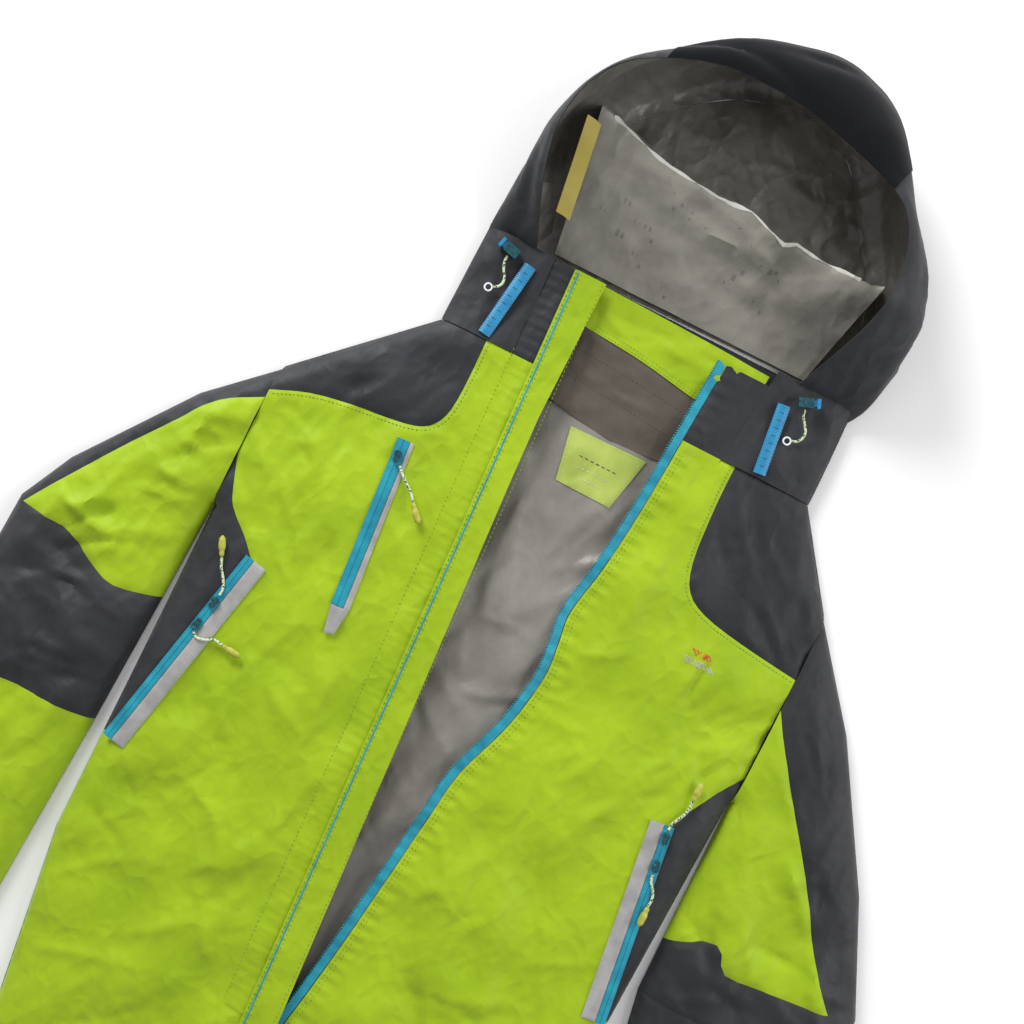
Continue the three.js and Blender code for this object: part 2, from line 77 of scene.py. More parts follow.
def plain_material(name, colour, roughness):
    """A plain matt surface for the studio."""
    material = bpy.data.materials.new(name)
    material.use_nodes = True
    shader = material.node_tree.nodes["Principled BSDF"]
    shader.inputs["Base Color"].default_value = (*colour, 1)
    shader.inputs["Roughness"].default_value = roughness
    return material


floor_mesh = bpy.data.meshes.new("studio_floor")
FLOOR = 4.0
floor_mesh.from_pydata(
    [(-FLOOR, -FLOOR, 0), (FLOOR, -FLOOR, 0), (FLOOR, FLOOR, 0), (-FLOOR, FLOOR, 0)], [], [(0, 1, 2, 3)]
)
floor = bpy.data.objects.new("studio_floor", floor_mesh)
floor.location.z = -0.0006
bpy.context.scene.collection.objects.link(floor)
floor.data.materials.append(plain_material("studio_white", (0.93, 0.93, 0.93), 0.9))


def soft_box(name, place, size, power):
    """A square area light that looks at the chest."""
    light = bpy.data.lights.new(name, "AREA")
    light.shape = "SQUARE"
    light.size = size
    light.energy = power
    lamp = bpy.data.objects.new(name, light)
    lamp.location = place
    lamp.rotation_euler = (Vector((0, 0.1, 0)) - Vector(place)).to_track_quat("-Z", "Y").to_euler()
    bpy.context.scene.collection.objects.link(lamp)


soft_box("key_light", (-1.7, 1.7, 1.2), 1.0, 66)
soft_box("fill_light", (2.1, 0.9, 1.5), 1.8, 40)
world = bpy.data.worlds.new("studio")
world.use_nodes = True
world.node_tree.nodes["Background"].inputs["Color"].default_value = (1, 1, 1, 1)
world.node_tree.nodes["Background"].inputs["Strength"].default_value = 0.5
bpy.context.scene.world = world
bpy.context.scene.view_settings.view_transform = "Standard"

# ---------------------------------------------------------------- pull cords and their moulded ends
# Each slider is pulled by a short braided cord, pale green with dark flecks, that ends in a
# soft moulded grip in olive yellow. The cord is pinned in the slider's eye at one end.


def coordinates(nodes, scale):
    """Object coordinates, which are metres in the jacket's frame, times a scale."""
    place = nodes.new("ShaderNodeTexCoord")
    mapping = nodes.new("ShaderNodeMapping")
    mapping.inputs["Scale"].default_value = scale
    nodes.id_data.links.new(place.outputs["Object"], mapping.inputs["Vector"])
    return mapping.outputs["Vector"]


def noise(nodes, vector, scale, detail=3.0, roughness=0.5):
    """Cloudy noise at a scale, as a factor."""
    texture = nodes.new("ShaderNodeTexNoise")
    texture.inputs["Scale"].default_value = scale
    texture.inputs["Detail"].default_value = detail
    texture.inputs["Roughness"].default_value = roughness
    nodes.id_data.links.new(vector, texture.inputs["Vector"])
    return texture.outputs["Fac"]


def ramp(nodes, factor, stops):
    """A colour ramp with (place, colour) stops."""
    node = nodes.new("ShaderNodeValToRGB")
    while len(node.color_ramp.elements) < len(stops):
        node.color_ramp.elements.new(0.5)
    for element, (place, colour) in zip(node.color_ramp.elements, stops):
        element.position = place
        element.color = (*colour, 1)
    nodes.id_data.links.new(factor, node.inputs["Fac"])
    return node.outputs["Color"]


def bump(nodes, height, strength, distance, normal=None):
    """Fine relief from a height, over another relief if there is one."""
    node = nodes.new("ShaderNodeBump")
    node.inputs["Strength"].default_value = strength
    node.inputs["Distance"].default_value = distance
    nodes.id_data.links.new(height, node.inputs["Height"])
    if normal is not None:
        nodes.id_data.links.new(normal, node.inputs["Normal"])
    return node.outputs["Normal"]


def new_material(name, roughness, specular=0.4, sheen=0.0):
    """An empty material with its surface values set."""
    material = bpy.data.materials.new(name)
    material.use_nodes = True
    shader = material.node_tree.nodes["Principled BSDF"]
    shader.inputs["Roughness"].default_value = roughness
    shader.inputs["Specular IOR Level"].default_value = specular
    shader.inputs["Sheen Weight"].default_value = sheen
    shader.inputs["Sheen Roughness"].default_value = 0.5
    return material, material.node_tree.nodes, material.node_tree.links, shader


def braided_cord_material():
    material, nodes, links, shader = new_material("braided_cord", 0.8, 0.3, 0.2)
    fleck = nodes.new("ShaderNodeTexVoronoi")
    fleck.inputs["Scale"].default_value = 1
    links.new(coordinates(nodes, (700, 700, 700)), fleck.inputs["Vector"])
    shade = ramp(nodes, fleck.outputs["Color"], [
        (0.0, (0.03, 0.06, 0.03)), (0.30, (0.05, 0.10, 0.05)),
        (0.36, (0.52, 0.62, 0.38)), (1.0, (0.66, 0.74, 0.52)),
    ])
    links.new(shade, shader.inputs["Base Color"])
    links.new(bump(nodes, fleck.outputs["Distance"], 0.8, 0.0004), shader.inputs["Normal"])
    return material


def grip_material():
    material, nodes, links, shader = new_material("olive_grip", 0.5, 0.45)
    mottle = noise(nodes, coordinates(nodes, (1, 1, 1)), 160, 4)
    links.new(ramp(nodes, mottle, [
        (0.3, (0.30, 0.32, 0.02)), (0.7, (0.50, 0.50, 0.09)),
    ]), shader.inputs["Base Color"])
    fine = noise(nodes, coordinates(nodes, (1, 1, 1)), 1500, 2)
    links.new(bump(nodes, fine, 0.15, 0.0002), shader.inputs["Normal"])
    return material


braided_cord = braided_cord_material()
olive_grip = grip_material()


def piece(name, mesh, material, smooth=True):
    """A new object from a mesh, with its material."""
    item = bpy.data.objects.new(name, mesh)
    bpy.context.scene.collection.objects.link(item)
    mesh.materials.append(material)
    if smooth:
        mesh.shade_smooth()
    return item


def turned_grip(name, node, start, tip, material):
    """A moulded grip: a waisted, ribbed bead that lies where its CAD solid lies."""
    low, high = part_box(node)
    height = (low.z + high.z) / 2
    a, b = (Vector((p[0] * MM, p[1] * MM, height)) for p in (start, tip))
    along = (b - a).normalized()
    start_point = b + along * 0.0003
    radii = [0.3, 0.62, 0.72, 0.66, 0.7, 0.86, 0.98, 1.0, 0.97, 0.98, 0.92, 0.94, 0.85, 0.55, 0.2]
    GRIP_LENGTH, GRIP_RADIUS, SIDES = 0.0198, 0.0034, 20
    across = Vector((-along.y, along.x, 0))
    mesh = bpy.data.meshes.new(name)
    points, faces = [], []
    for i, radius in enumerate(radii):
        middle = start_point + along * GRIP_LENGTH * i / (len(radii) - 1)
        for j in range(SIDES):
            angle = 2 * math.pi * j / SIDES
            side = across * math.cos(angle) + Vector((0, 0, 0.8 * math.sin(angle)))
            points.append(middle + side * GRIP_RADIUS * radius)
    for i in range(len(radii) - 1):
        for j in range(SIDES):
            k = (j + 1) % SIDES
            faces.append((i * SIDES + j, i * SIDES + k, (i + 1) * SIDES + k, (i + 1) * SIDES + j))
    faces.append(tuple(reversed(range(SIDES))))
    faces.append(tuple(range((len(radii) - 1) * SIDES, len(radii) * SIDES)))
    mesh.from_pydata([tuple(p) for p in points], [], faces)
    return piece(name, mesh, material)


def cord_curve(name, route, height, diameter, material):
    """A round cord along given points."""
    curve = bpy.data.curves.new(name, "CURVE")
    curve.dimensions = "3D"
    curve.bevel_depth = diameter / 2 * MM
    curve.bevel_resolution = 3
    curve.resolution_u = 8
    curve.use_fill_caps = True
    spline = curve.splines.new("BEZIER")
    spline.bezier_points.add(len(route) - 1)
    for point, (x, y) in zip(spline.bezier_points, route):
        point.co = (x * MM, y * MM, height * MM)
        point.handle_left_type = point.handle_right_type = "AUTO"
    curve.materials.append(material)
    item = bpy.data.objects.new(name, curve)
    bpy.context.scene.collection.objects.link(item)
    return item


PULL_CORD = 2.6
pull_routes = {
    "chest": [(-158.5, 143.5), (-154, 139), (-147, 133), (-139, 127), (-132, 119)],
    "right_upper": [(-252, -37), (-252, -31), (-256, -22), (-262, -14), (-266, -5)],
    "right_lower": [(-258.5, -77.5), (-254, -81), (-246, -80), (-238, -76), (-229, -77)],
    "left_upper": [(213, -42), (214, -35), (218, -27), (221, -18), (221, -9)],
    "left_lower": [(219, -85.5), (220.6, -92), (225.3, -98), (228.2, -105), (228.2, -113)],
}
for name, route in pull_routes.items():
    cord_low, cord_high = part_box(f"{name}_pull_cord")
    height = (cord_low.z + cord_high.z) / 2 / MM
    grip = turned_grip(f"{name}_grip", f"{name}_pull_end", route[-2], route[-1], olive_grip)
    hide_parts(f"{name}_pull_end")
    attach(grip, f"{name}_pull")
    cord = cord_curve(f"{name}_cord", route, height, PULL_CORD, braided_cord)
    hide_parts(f"{name}_pull_cord")
    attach(cord, f"{name}_pull")

# ---------------------------------------------------------------- hood cords
# A thin cord runs through a tunnel in each side of the collar, leaves it through a spring
# lock, and ends in a small clear ring that a gloved finger can hook.
HOOD_CORD = 2.4


def ring(name, centre, radius, thickness, material):
    """A flat-lying ring."""
    mesh = bpy.data.meshes.new(name)
    around, tube = 28, 10
    points, faces = [], []
    for i in range(around):
        a = 2 * math.pi * i / around
        for j in range(tube):
            b = 2 * math.pi * j / tube
            reach = radius + thickness * math.cos(b)
            points.append((
                centre[0] + reach * math.cos(a),
                centre[1] + reach * math.sin(a),
                centre[2] + thickness * math.sin(b),
            ))
            k, m = (i + 1) % around, (j + 1) % tube
            faces.append((i * tube + j, k * tube + j, k * tube + m, i * tube + m))
    mesh.from_pydata(points, [], faces)
    return piece(name, mesh, material)


def moulded(name, roughness, scale, detail, dark, lit):
    """Moulded plastic with a faint mottle."""
    material, nodes, links, shader = new_material(name, roughness, 0.5)
    mottle = noise(nodes, coordinates(nodes, (1, 1, 1)), scale, detail)
    links.new(ramp(nodes, mottle, [(0.3, dark), (0.7, lit)]), shader.inputs["Base Color"])
    return material


# Painted highlight: the clear rings are coloured opaque pale to stand in for their shine.
ring_highlight_paint = moulded("clear_ring", 0.25, 400, 2, (0.70, 0.75, 0.78), (0.83, 0.87, 0.89))
hood_routes = {
    "right": [(-158, 360.5), (-158, 355), (-155, 347), (-151, 340), (-152, 333), (-158, 329)],
    "left": [(150, 358.8), (151, 353), (156, 346), (160, 338), (157, 330), (151, 327)],
}
for side, route in hood_routes.items():
    cord_low, cord_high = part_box(f"{side}_hood_cord")
    height = (cord_low.z + cord_high.z) / 2 / MM
    cord = cord_curve(f"{side}_collar_cord", route, height, HOOD_CORD, braided_cord)
    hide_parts(f"{side}_hood_cord")
    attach(cord, "torso")
    away = (Vector(route[-1]) - Vector(route[-2])).normalized()
    RING = 0.0034
    middle = (Vector(route[-1]) * MM) + away * RING
    loop = ring(f"{side}_cord_ring", (middle.x, middle.y, height * MM), RING, 0.0008, ring_highlight_paint)
    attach(loop, "torso")

# ---------------------------------------------------------------- back of the body
# One wide charcoal panel of coated nylon with a crisp hand, which lies on the floor. Its edges
# are sewn to the yokes, the side panels and the sleeves.
SHELL = 1.6
neck_seam = body_high.y
hem = body_low.y
right_armhole = body_low.x
left_armhole = body_high.x
collar_top = collar_high.y
zip_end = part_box("closed_zip")[1].y / MM
right_neck = collar_low.x
left_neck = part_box("left_collar_side")[1].x / MM
right_shoulder = (right_armhole, neck_seam - 105)
left_shoulder = (left_armhole, neck_seam - 84)


def curve(points, spans=6):
    """A smooth line through a few points."""
    p = [np.array(point, float) for point in points]
    p = [2 * p[0] - p[1]] + p + [2 * p[-1] - p[-2]]
    line = []
    for a, b, c, d in zip(p, p[1:], p[2:], p[3:]):
        for t in np.arange(spans) / spans:
            bend = (2 * a - 5 * b + 4 * c - d) * t ** 2 + (3 * b - a - 3 * c + d) * t ** 3
            line.append(tuple(0.5 * (2 * b + (c - a) * t + bend)))
    return line + [tuple(p[-2])]


def distance(points, line, closed=False):
    """How far each point is from a line of straight stretches."""
    line = np.array(line, float)
    ends = np.roll(line, -1, axis=0) if closed else line[1:]
    best = np.full(len(points), 1e9)
    for a, b in zip(line, ends):
        d = b - a
        t = np.clip(((points - a) @ d) / max(d @ d, 1e-9), 0, 1)
        best = np.minimum(best, np.linalg.norm(points - (a + t[:, None] * d), axis=1))
    return best


def inside(points, outline):
    """Which points lie inside a closed outline."""
    x, y = points.T
    result = np.zeros(len(points), bool)
    for (ax, ay), (bx, by) in zip(outline, np.roll(outline, -1, axis=0)):
        if ay != by:
            result ^= ((ay > y) != (by > y)) & (x < ax + (y - ay) * (bx - ax) / (by - ay))
    return result


def flat_mesh(outline, step):
    """Even triangles over a cut piece of cloth."""
    edge = []
    for a, b in zip(outline, list(outline[1:]) + [outline[0]]):
        a, b = np.array(a, float), np.array(b, float)
        count = max(1, math.ceil(np.linalg.norm(b - a) / step))
        edge += [a + (b - a) * i / count for i in range(count)]
    edge = np.array(edge)
    low, high = edge.min(0), edge.max(0)
    columns = np.arange(low[0], high[0] + step, step)
    rows = [
        np.stack([columns + (i % 2) * step / 2, np.full(len(columns), y)], 1)
        for i, y in enumerate(np.arange(low[1], high[1], step * 0.87))
    ]
    grid = np.concatenate(rows)
    grid = grid[inside(grid, edge)]
    grid = grid[distance(grid, outline, True) > 0.5 * step]
    points = np.concatenate([edge, grid])
    result = delaunay_2d_cdt([Vector(p) for p in points], [], [list(range(len(edge)))], 1, 1e-5)
    return np.array([tuple(v) for v in result[0]]), [tuple(f) for f in result[2]]


def two_sided(name, points, faces, thickness, outer, inner):
    """Cloth with an outer side, an inner side and a cut edge, from points in millimetres."""
    points = np.array(points, float) * MM
    mesh = bpy.data.meshes.new(name)
    mesh.from_pydata(points.tolist(), [], faces)
    mesh.update()
    normals = np.zeros(len(points) * 3)
    mesh.vertices.foreach_get("normal", normals)
    under = points - normals.reshape(-1, 3) * thickness * MM
    used = {(a, b) for f in faces for a, b in zip(f, f[1:] + f[:1])}
    rim = [(a, b) for a, b in used if (b, a) not in used]
    count = len(points)
    sides = [(b, a, a + count, b + count) for a, b in sorted(rim)]
    backs = [tuple(i + count for i in reversed(f)) for f in faces]
    mesh.clear_geometry()
    mesh.from_pydata(np.concatenate([points, under]).tolist(), [], faces + backs + sides)
    item = piece(name, mesh, outer)
    mesh.materials.append(inner)
    index = np.zeros(len(mesh.polygons), np.int32)
    index[len(faces):len(faces) * 2] = 1
    mesh.polygons.foreach_set("material_index", index)
    mesh.set_sharp_from_angle(angle=math.radians(55))
    mesh.update()
    return item


def area_of(outline):
    x, y = np.array(outline).T
    return abs(x @ np.roll(y, -1) - y @ np.roll(x, -1)) / 2


def cloth(name, outline, height, outer, inner, thickness=1.2, step=5):
    """A cut panel laid at a height."""
    points, faces = flat_mesh(outline, step)
    heights = height(points)
    item = two_sided(name, np.column_stack([points, heights]), faces, thickness, outer, inner)
    spread = np.ptp(np.array(outline), axis=0)
    area = area_of(outline)
    if area < 0.35 * spread[0] * spread[1]:
        spread[0] = area / spread[1]
    return item


def creases(seed, count, box, angle, spread, length, width, height):
    """Sharp folds, scattered over a box: middle, direction, half length, width and height."""
    rng = np.random.default_rng(seed)
    (x0, x1), (y0, y1) = box
    turn = np.radians(rng.normal(angle, spread, count))
    sign = np.where(rng.uniform(0, 1, count) < 0.35, -0.8, 1.0)
    return np.column_stack([
        rng.uniform(x0, x1, count), rng.uniform(y0, y1, count), np.cos(turn), np.sin(turn),
        rng.uniform(0.5, 1.3, count) * length, rng.uniform(0.6, 1.5, count) * width,
        rng.uniform(0.3, 1, count) * sign * height, rng.normal(0, 0.18, count),
    ])


def folds(points, rows):
    """Height of all the folds at each point."""
    total = np.zeros(len(points))
    for x, y, c, s, length, width, height, bow in rows:
        dx, dy = points[:, 0] - x, points[:, 1] - y
        along = (dx * c + dy * s) / length
        across = -dx * s + dy * c + bow * length * along ** 2
        crest = np.exp(-(np.sqrt(across ** 2 + 1.2) - 1.1) / width)
        total += height * crest * np.clip(1 - along ** 2, 0, 1) ** 1.5
    return total


def swell(points, seed, scale, height):
    """Slow uneven rise and fall of loose cloth."""
    rng = np.random.default_rng(seed)
    total = np.zeros(len(points))
    for _ in range(10):
        turn, phase, bend = rng.uniform(0, 2 * np.pi, 3)
        wave = 2 * np.pi / (scale * rng.uniform(0.6, 1.6))
        u = points @ np.array([math.cos(turn), math.sin(turn)])
        v = points @ np.array([-math.sin(turn), math.cos(turn)])
        total += np.sin(u * wave + phase + 1.4 * np.sin(v * wave * 0.6 + bend))
    return height * total / 3.2


def rolled(d, width):
    """How a full edge turns down: 0 on the edge and 1 from the width on."""
    t = 1 - np.clip(d / width, 0, 1)
    return np.sqrt(np.clip(1 - t * t, 0, 1))


def nylon(name, dark, lit, crinkle=0.5, roughness=0.55, weave=1.0, specular=0.35):
    """Coated plain-weave nylon: fine threads, a crinkled coat and slightly uneven dye."""
    material, nodes, links, shader = new_material(name, roughness, specular, 0.12)
    place = coordinates(nodes, (1, 1, 1))
    patches = noise(nodes, place, 14, 5, 0.6)
    links.new(ramp(nodes, patches, [(0.32, dark), (0.68, lit)]), shader.inputs["Base Color"])
    worn = nodes.new("ShaderNodeMapRange")
    worn.inputs["To Min"].default_value = roughness - 0.09
    worn.inputs["To Max"].default_value = roughness + 0.1
    links.new(noise(nodes, place, 55, 3), worn.inputs["Value"])
    links.new(worn.outputs["Result"], shader.inputs["Roughness"])
    ridges = nodes.new("ShaderNodeTexVoronoi")
    ridges.feature = "SMOOTH_F1"
    ridges.inputs["Scale"].default_value = 1
    ridges.inputs["Smoothness"].default_value = 0.25
    turned = nodes.new("ShaderNodeVectorMath")
    turned.operation = "MULTIPLY_ADD"
    wander = nodes.new("ShaderNodeTexNoise")
    wander.inputs["Scale"].default_value = 22
    links.new(place, wander.inputs["Vector"])
    stretch = nodes.new("ShaderNodeMapping")
    stretch.inputs["Scale"].default_value = (60, 34, 40)
    links.new(place, stretch.inputs["Vector"])
    turned.inputs[1].default_value = (2.2, 2.2, 2.2)
    links.new(wander.outputs["Color"], turned.inputs[0])
    links.new(stretch.outputs["Vector"], turned.inputs[2])
    links.new(turned.outputs["Vector"], ridges.inputs["Vector"])
    crumpled = bump(nodes, ridges.outputs["Distance"], crinkle, 0.0035)
    grain = noise(nodes, place, 240, 4)
    grained = bump(nodes, grain, 0.25 * crinkle, 0.0012, crumpled)
    threads = nodes.new("ShaderNodeTexWave")
    threads.inputs["Scale"].default_value = 260
    threads.inputs["Distortion"].default_value = 0.6
    links.new(place, threads.inputs["Vector"])
    cross = nodes.new("ShaderNodeTexWave")
    cross.bands_direction = "Y"
    cross.inputs["Scale"].default_value = 260
    links.new(place, cross.inputs["Vector"])
    both = nodes.new("ShaderNodeMath")
    both.operation = "MULTIPLY"
    links.new(threads.outputs["Fac"], both.inputs[0])
    links.new(cross.outputs["Fac"], both.inputs[1])
    links.new(bump(nodes, both.outputs[0], 0.12 * weave, 0.0003, grained), shader.inputs["Normal"])
    return material


charcoal = nylon("charcoal_nylon", (0.013, 0.014, 0.017), (0.030, 0.031, 0.036), 0.55, 0.58, 1.0, 0.3)
grey_lining = nylon("grey_lining", (0.17, 0.155, 0.135), (0.26, 0.245, 0.22), 0.3, 0.42, 0.6, 0.5)
WAIST = -300
right_waist = (right_armhole + 4, WAIST)
right_hem = (right_armhole + 34, hem)
left_waist = (left_armhole - 10, WAIST)
left_hem = (left_armhole - 14, hem)
back_outline = [
    (right_neck, neck_seam), right_shoulder, (right_armhole, 40), right_waist, right_hem,
    left_hem, left_waist, (left_armhole, 40), left_shoulder, (left_neck, neck_seam),
]
back = cloth("back_cloth", back_outline, lambda p: 1.5 + 0.4 * np.abs(swell(p, 1, 90, 0.5)),
             charcoal, charcoal, 1.0, 9)
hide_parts("back_panel")
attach(back, "torso")

# ---------------------------------------------------------------- lining of the back
# A loose satin lining the colour of ash, sewn in round the edges only, so it lies in soft
# drapes down the opening. A stitched curve crosses it under the label.
LINING_BASE = 3.2
lining_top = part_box("back_lining")[1].y / MM
drapes = np.concatenate([
    creases(11, 26, ((-70, 70), (-330, 180)), 78, 16, 120, 11, 5.0),
    creases(12, 30, ((-100, 110), (-60, 240)), 40, 40, 60, 7, 2.6),
    creases(13, 26, ((-110, 90), (-300, 40)), 110, 25, 70, 6, 2.4),
    np.array([
        [-28, 110, math.cos(1.9), math.sin(1.9), 120, 15, 6.5, 0.05],
        [10, -10, math.cos(0.35), math.sin(0.35), 75, 6, 4.0, -0.25],
        [-20, -60, math.cos(2.5), math.sin(2.5), 70, 9, 5.0, 0.15],
        [-25, 55, math.cos(0.2), math.sin(0.2), 70, 3, 1.8, 0.3],
    ]),
])


def lining_height(p):
    near_edge = distance(p, back_outline, True)
    drape = np.abs(folds(p, drapes)) + 1.2 + np.abs(swell(p, 5, 150, 2.6))
    return LINING_BASE + np.minimum(drape, 12.5) * np.clip(near_edge / 50, 0.05, 1)


lining_outline = [
    (right_armhole + 4, 172), (right_armhole + 4, 40), (right_armhole + 8, WAIST),
    (right_armhole + 38, hem + 3), (left_armhole - 18, hem + 3), (left_armhole - 14, WAIST),
    (left_armhole - 4, 40), (left_armhole - 4, 190),
    (left_neck - 25, lining_top), (right_neck + 25, lining_top),
]
lining = cloth("lining_cloth", lining_outline, lining_height, grey_lining, grey_lining, 0.6, 4.5)
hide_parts("back_lining")
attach(lining, "torso")

# ---------------------------------------------------------------- neck label
# A woven lime patch, edge-stitched to the lining under the collar, with blank woven lines where
# a maker would sign it.


def label_material():
    material, nodes, links, shader = new_material("woven_label", 0.6, 0.3, 0.2)
    place = coordinates(nodes, (1, 1, 1))
    patches = noise(nodes, place, 40, 3)
    woven = ramp(nodes, patches, [(0.3, (0.33, 0.42, 0.07)), (0.7, (0.42, 0.50, 0.10))])
    links.new(woven, shader.inputs["Base Color"])
    threads = nodes.new("ShaderNodeTexWave")
    threads.inputs["Scale"].default_value = 420
    links.new(place, threads.inputs["Vector"])
    links.new(bump(nodes, threads.outputs["Fac"], 0.3, 0.0004), shader.inputs["Normal"])
    return material


woven_label = label_material()
label_outline = [(-25, 198), (31, 197), (43, 251), (-35, 249)]
LABEL_RISE = 1.0


def label_height(p):
    return lining_height(p) + LABEL_RISE


label = cloth("label_cloth", label_outline, label_height, woven_label, woven_label, 0.7, 3)
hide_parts("neck_label")
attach(label, "torso")


def stitches(name, line, height, material, length=2.4, space=1.6, width=0.7, side=0.0, lift=0.25):
    """A row of thread stitches along a line, each a small raised bar."""
    line = np.array(line, float)
    lengths = np.concatenate([[0], np.cumsum(np.linalg.norm(np.diff(line, axis=0), axis=1))])
    starts = np.arange(0, lengths[-1] - length, length + space)
    points, faces = [], []
    ends = np.stack([starts, starts + length], 1)
    place = np.stack([np.interp(ends, lengths, line[:, 0]), np.interp(ends, lengths, line[:, 1])], 2)
    for a, b in place:
        d = (b - a) / max(np.linalg.norm(b - a), 1e-6)
        n = np.array([-d[1], d[0]])
        a, b = a + n * side, b + n * side
        half = n * width / 2
        corners = np.array([a - half, b - half, b + half, a + half, a * 0.7 + b * 0.3, a * 0.3 + b * 0.7])
        z = height(corners)
        rise = np.array([-0.3, -0.3, -0.3, -0.3, lift + 0.25, lift + 0.25])
        first = len(points)
        points += [(x * MM, y * MM, (h + r) * MM) for (x, y), h, r in zip(corners, z, rise)]
        faces += [tuple(first + i for i in f) for f in (
            (0, 1, 5, 4), (1, 2, 5), (2, 3, 4, 5), (3, 0, 4), (3, 2, 1, 0),
        )]
    mesh = bpy.data.meshes.new(name)
    mesh.from_pydata(points, [], faces)
    return piece(name, mesh, material, False)


def thread_material(name, colour):
    material, nodes, links, shader = new_material(name, 0.7, 0.3, 0.2)
    fuzz = noise(nodes, coordinates(nodes, (1, 1, 1)), 900, 2)
    darker = tuple(c * 0.7 for c in colour)
    links.new(ramp(nodes, fuzz, [(0.35, darker), (0.65, colour)]), shader.inputs["Base Color"])
    links.new(bump(nodes, fuzz, 0.3, 0.0002), shader.inputs["Normal"])
    return material


lime_thread = thread_material("lime_thread", (0.24, 0.36, 0.03))
dark_thread = thread_material("dark_thread", (0.06, 0.06, 0.065))
pale_thread = thread_material("pale_thread", (0.55, 0.55, 0.48))
label_centre = np.mean(label_outline, axis=0)
label_ring = [tuple(label_centre + (np.array(p) - label_centre) * 0.93)
              for p in label_outline + label_outline[:1]]
label_stitch = stitches("label_stitch", label_ring, label_height, pale_thread, 2, 1.4, 0.5)
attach(label_stitch, "torso")
for row, (y, half) in enumerate([(228, 20), (218, 17), (209, 13)]):
    mark = stitches(f"label_line_{row}", [(4 - half, y), (4 + half, y)], label_height,
                    pale_thread if row else dark_thread, 4.5 - row, 1.2, 1.5)
    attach(mark, "torso")

# ---------------------------------------------------------------- collar
# The collar's back lies flat with its lime facing up. Below the facing a dark band covers the
# neck seam, with two stitched rows, and slopes down to the lining.
lime = nylon("lime_nylon", (0.27, 0.41, 0.006), (0.35, 0.50, 0.010), 0.6, 0.56, 1.0, 0.22)
collar_outline = [
    (right_neck, neck_seam + 0.6), (left_neck, neck_seam + 0.6), (left_neck - 4, collar_top),
    (right_neck + 2, collar_top),
]
collar_cloth = cloth("collar_back_cloth", collar_outline,
                     lambda p: 1.6 + 0.3 * np.abs(swell(p, 3, 60, 1)), charcoal, charcoal, 1.0, 7)
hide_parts("collar_back")
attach(collar_cloth, "torso")
neck_folds = creases(21, 26, ((-80, 90), (262, 378)), -12, 14, 60, 4.5, 2.2)


def neck_height(p):
    slope = np.clip((p[:, 1] - lining_top) / (collar_top - lining_top), 0, 1)
    return np.minimum(7 + 9 * slope ** 0.7 + 1.4 * folds(p, neck_folds), 17.5)


facing = cloth(
    "collar_facing", curve([(-104, collar_top - 2), (0, collar_top - 4), (108, collar_top - 8)])
    + curve([(104, 320), (60, 322), (0, 331), (-60, 336), (-104, 338)]),
    neck_height, lime, grey_lining, 1.4, 4)
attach(facing, "torso")
neck_brown = nylon("neck_band_nylon", (0.075, 0.062, 0.048), (0.115, 0.098, 0.078), 0.35, 0.5)
band_cloth = cloth(
    "neck_band", curve([(-104, 339.5), (-60, 337.5), (0, 332.5), (60, 323.5), (104, 321.5)])
    + curve([(108, 268), (60, 258), (0, 254), (-60, 262), (-104, 270)]),
    lambda p: neck_height(p) - 1.2, neck_brown, grey_lining, 1.0, 4)
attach(band_cloth, "torso")
for row, side in enumerate((2.0, 5.5)):
    seam = stitches(f"facing_stitch_{row}", curve([(-96, 338), (-60, 336), (0, 331), (60, 322), (98, 320)]),
                    neck_height, lime_thread, 2.2, 1.4, 0.6, side)
    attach(seam, "torso")
for row, drop in enumerate((0, 26)):
    seam = stitches(f"neck_band_stitch_{row}", curve([(-92, 318 - drop), (0, 312 - drop), (92, 302 - drop)]),
                    lambda p: neck_height(p) - 1.2, dark_thread, 2.6, 1.4, 0.7)
    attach(seam, "torso")

# ---------------------------------------------------------------- yokes, fronts and side panels
# The outer shell of the front, in seven panels sewn edge to edge over the loft of the body. The
# coated cloth is crisp, so it lies in flat facets with sharp creases between them.
right_fold = [(-118, collar_top), (-78, zip_end)]
left_fold = [(113, collar_top), (27, zip_end)]


def x_at(line, y):
    (ax, ay), (bx, by) = line
    return ax + (bx - ax) * (y - ay) / (by - ay)


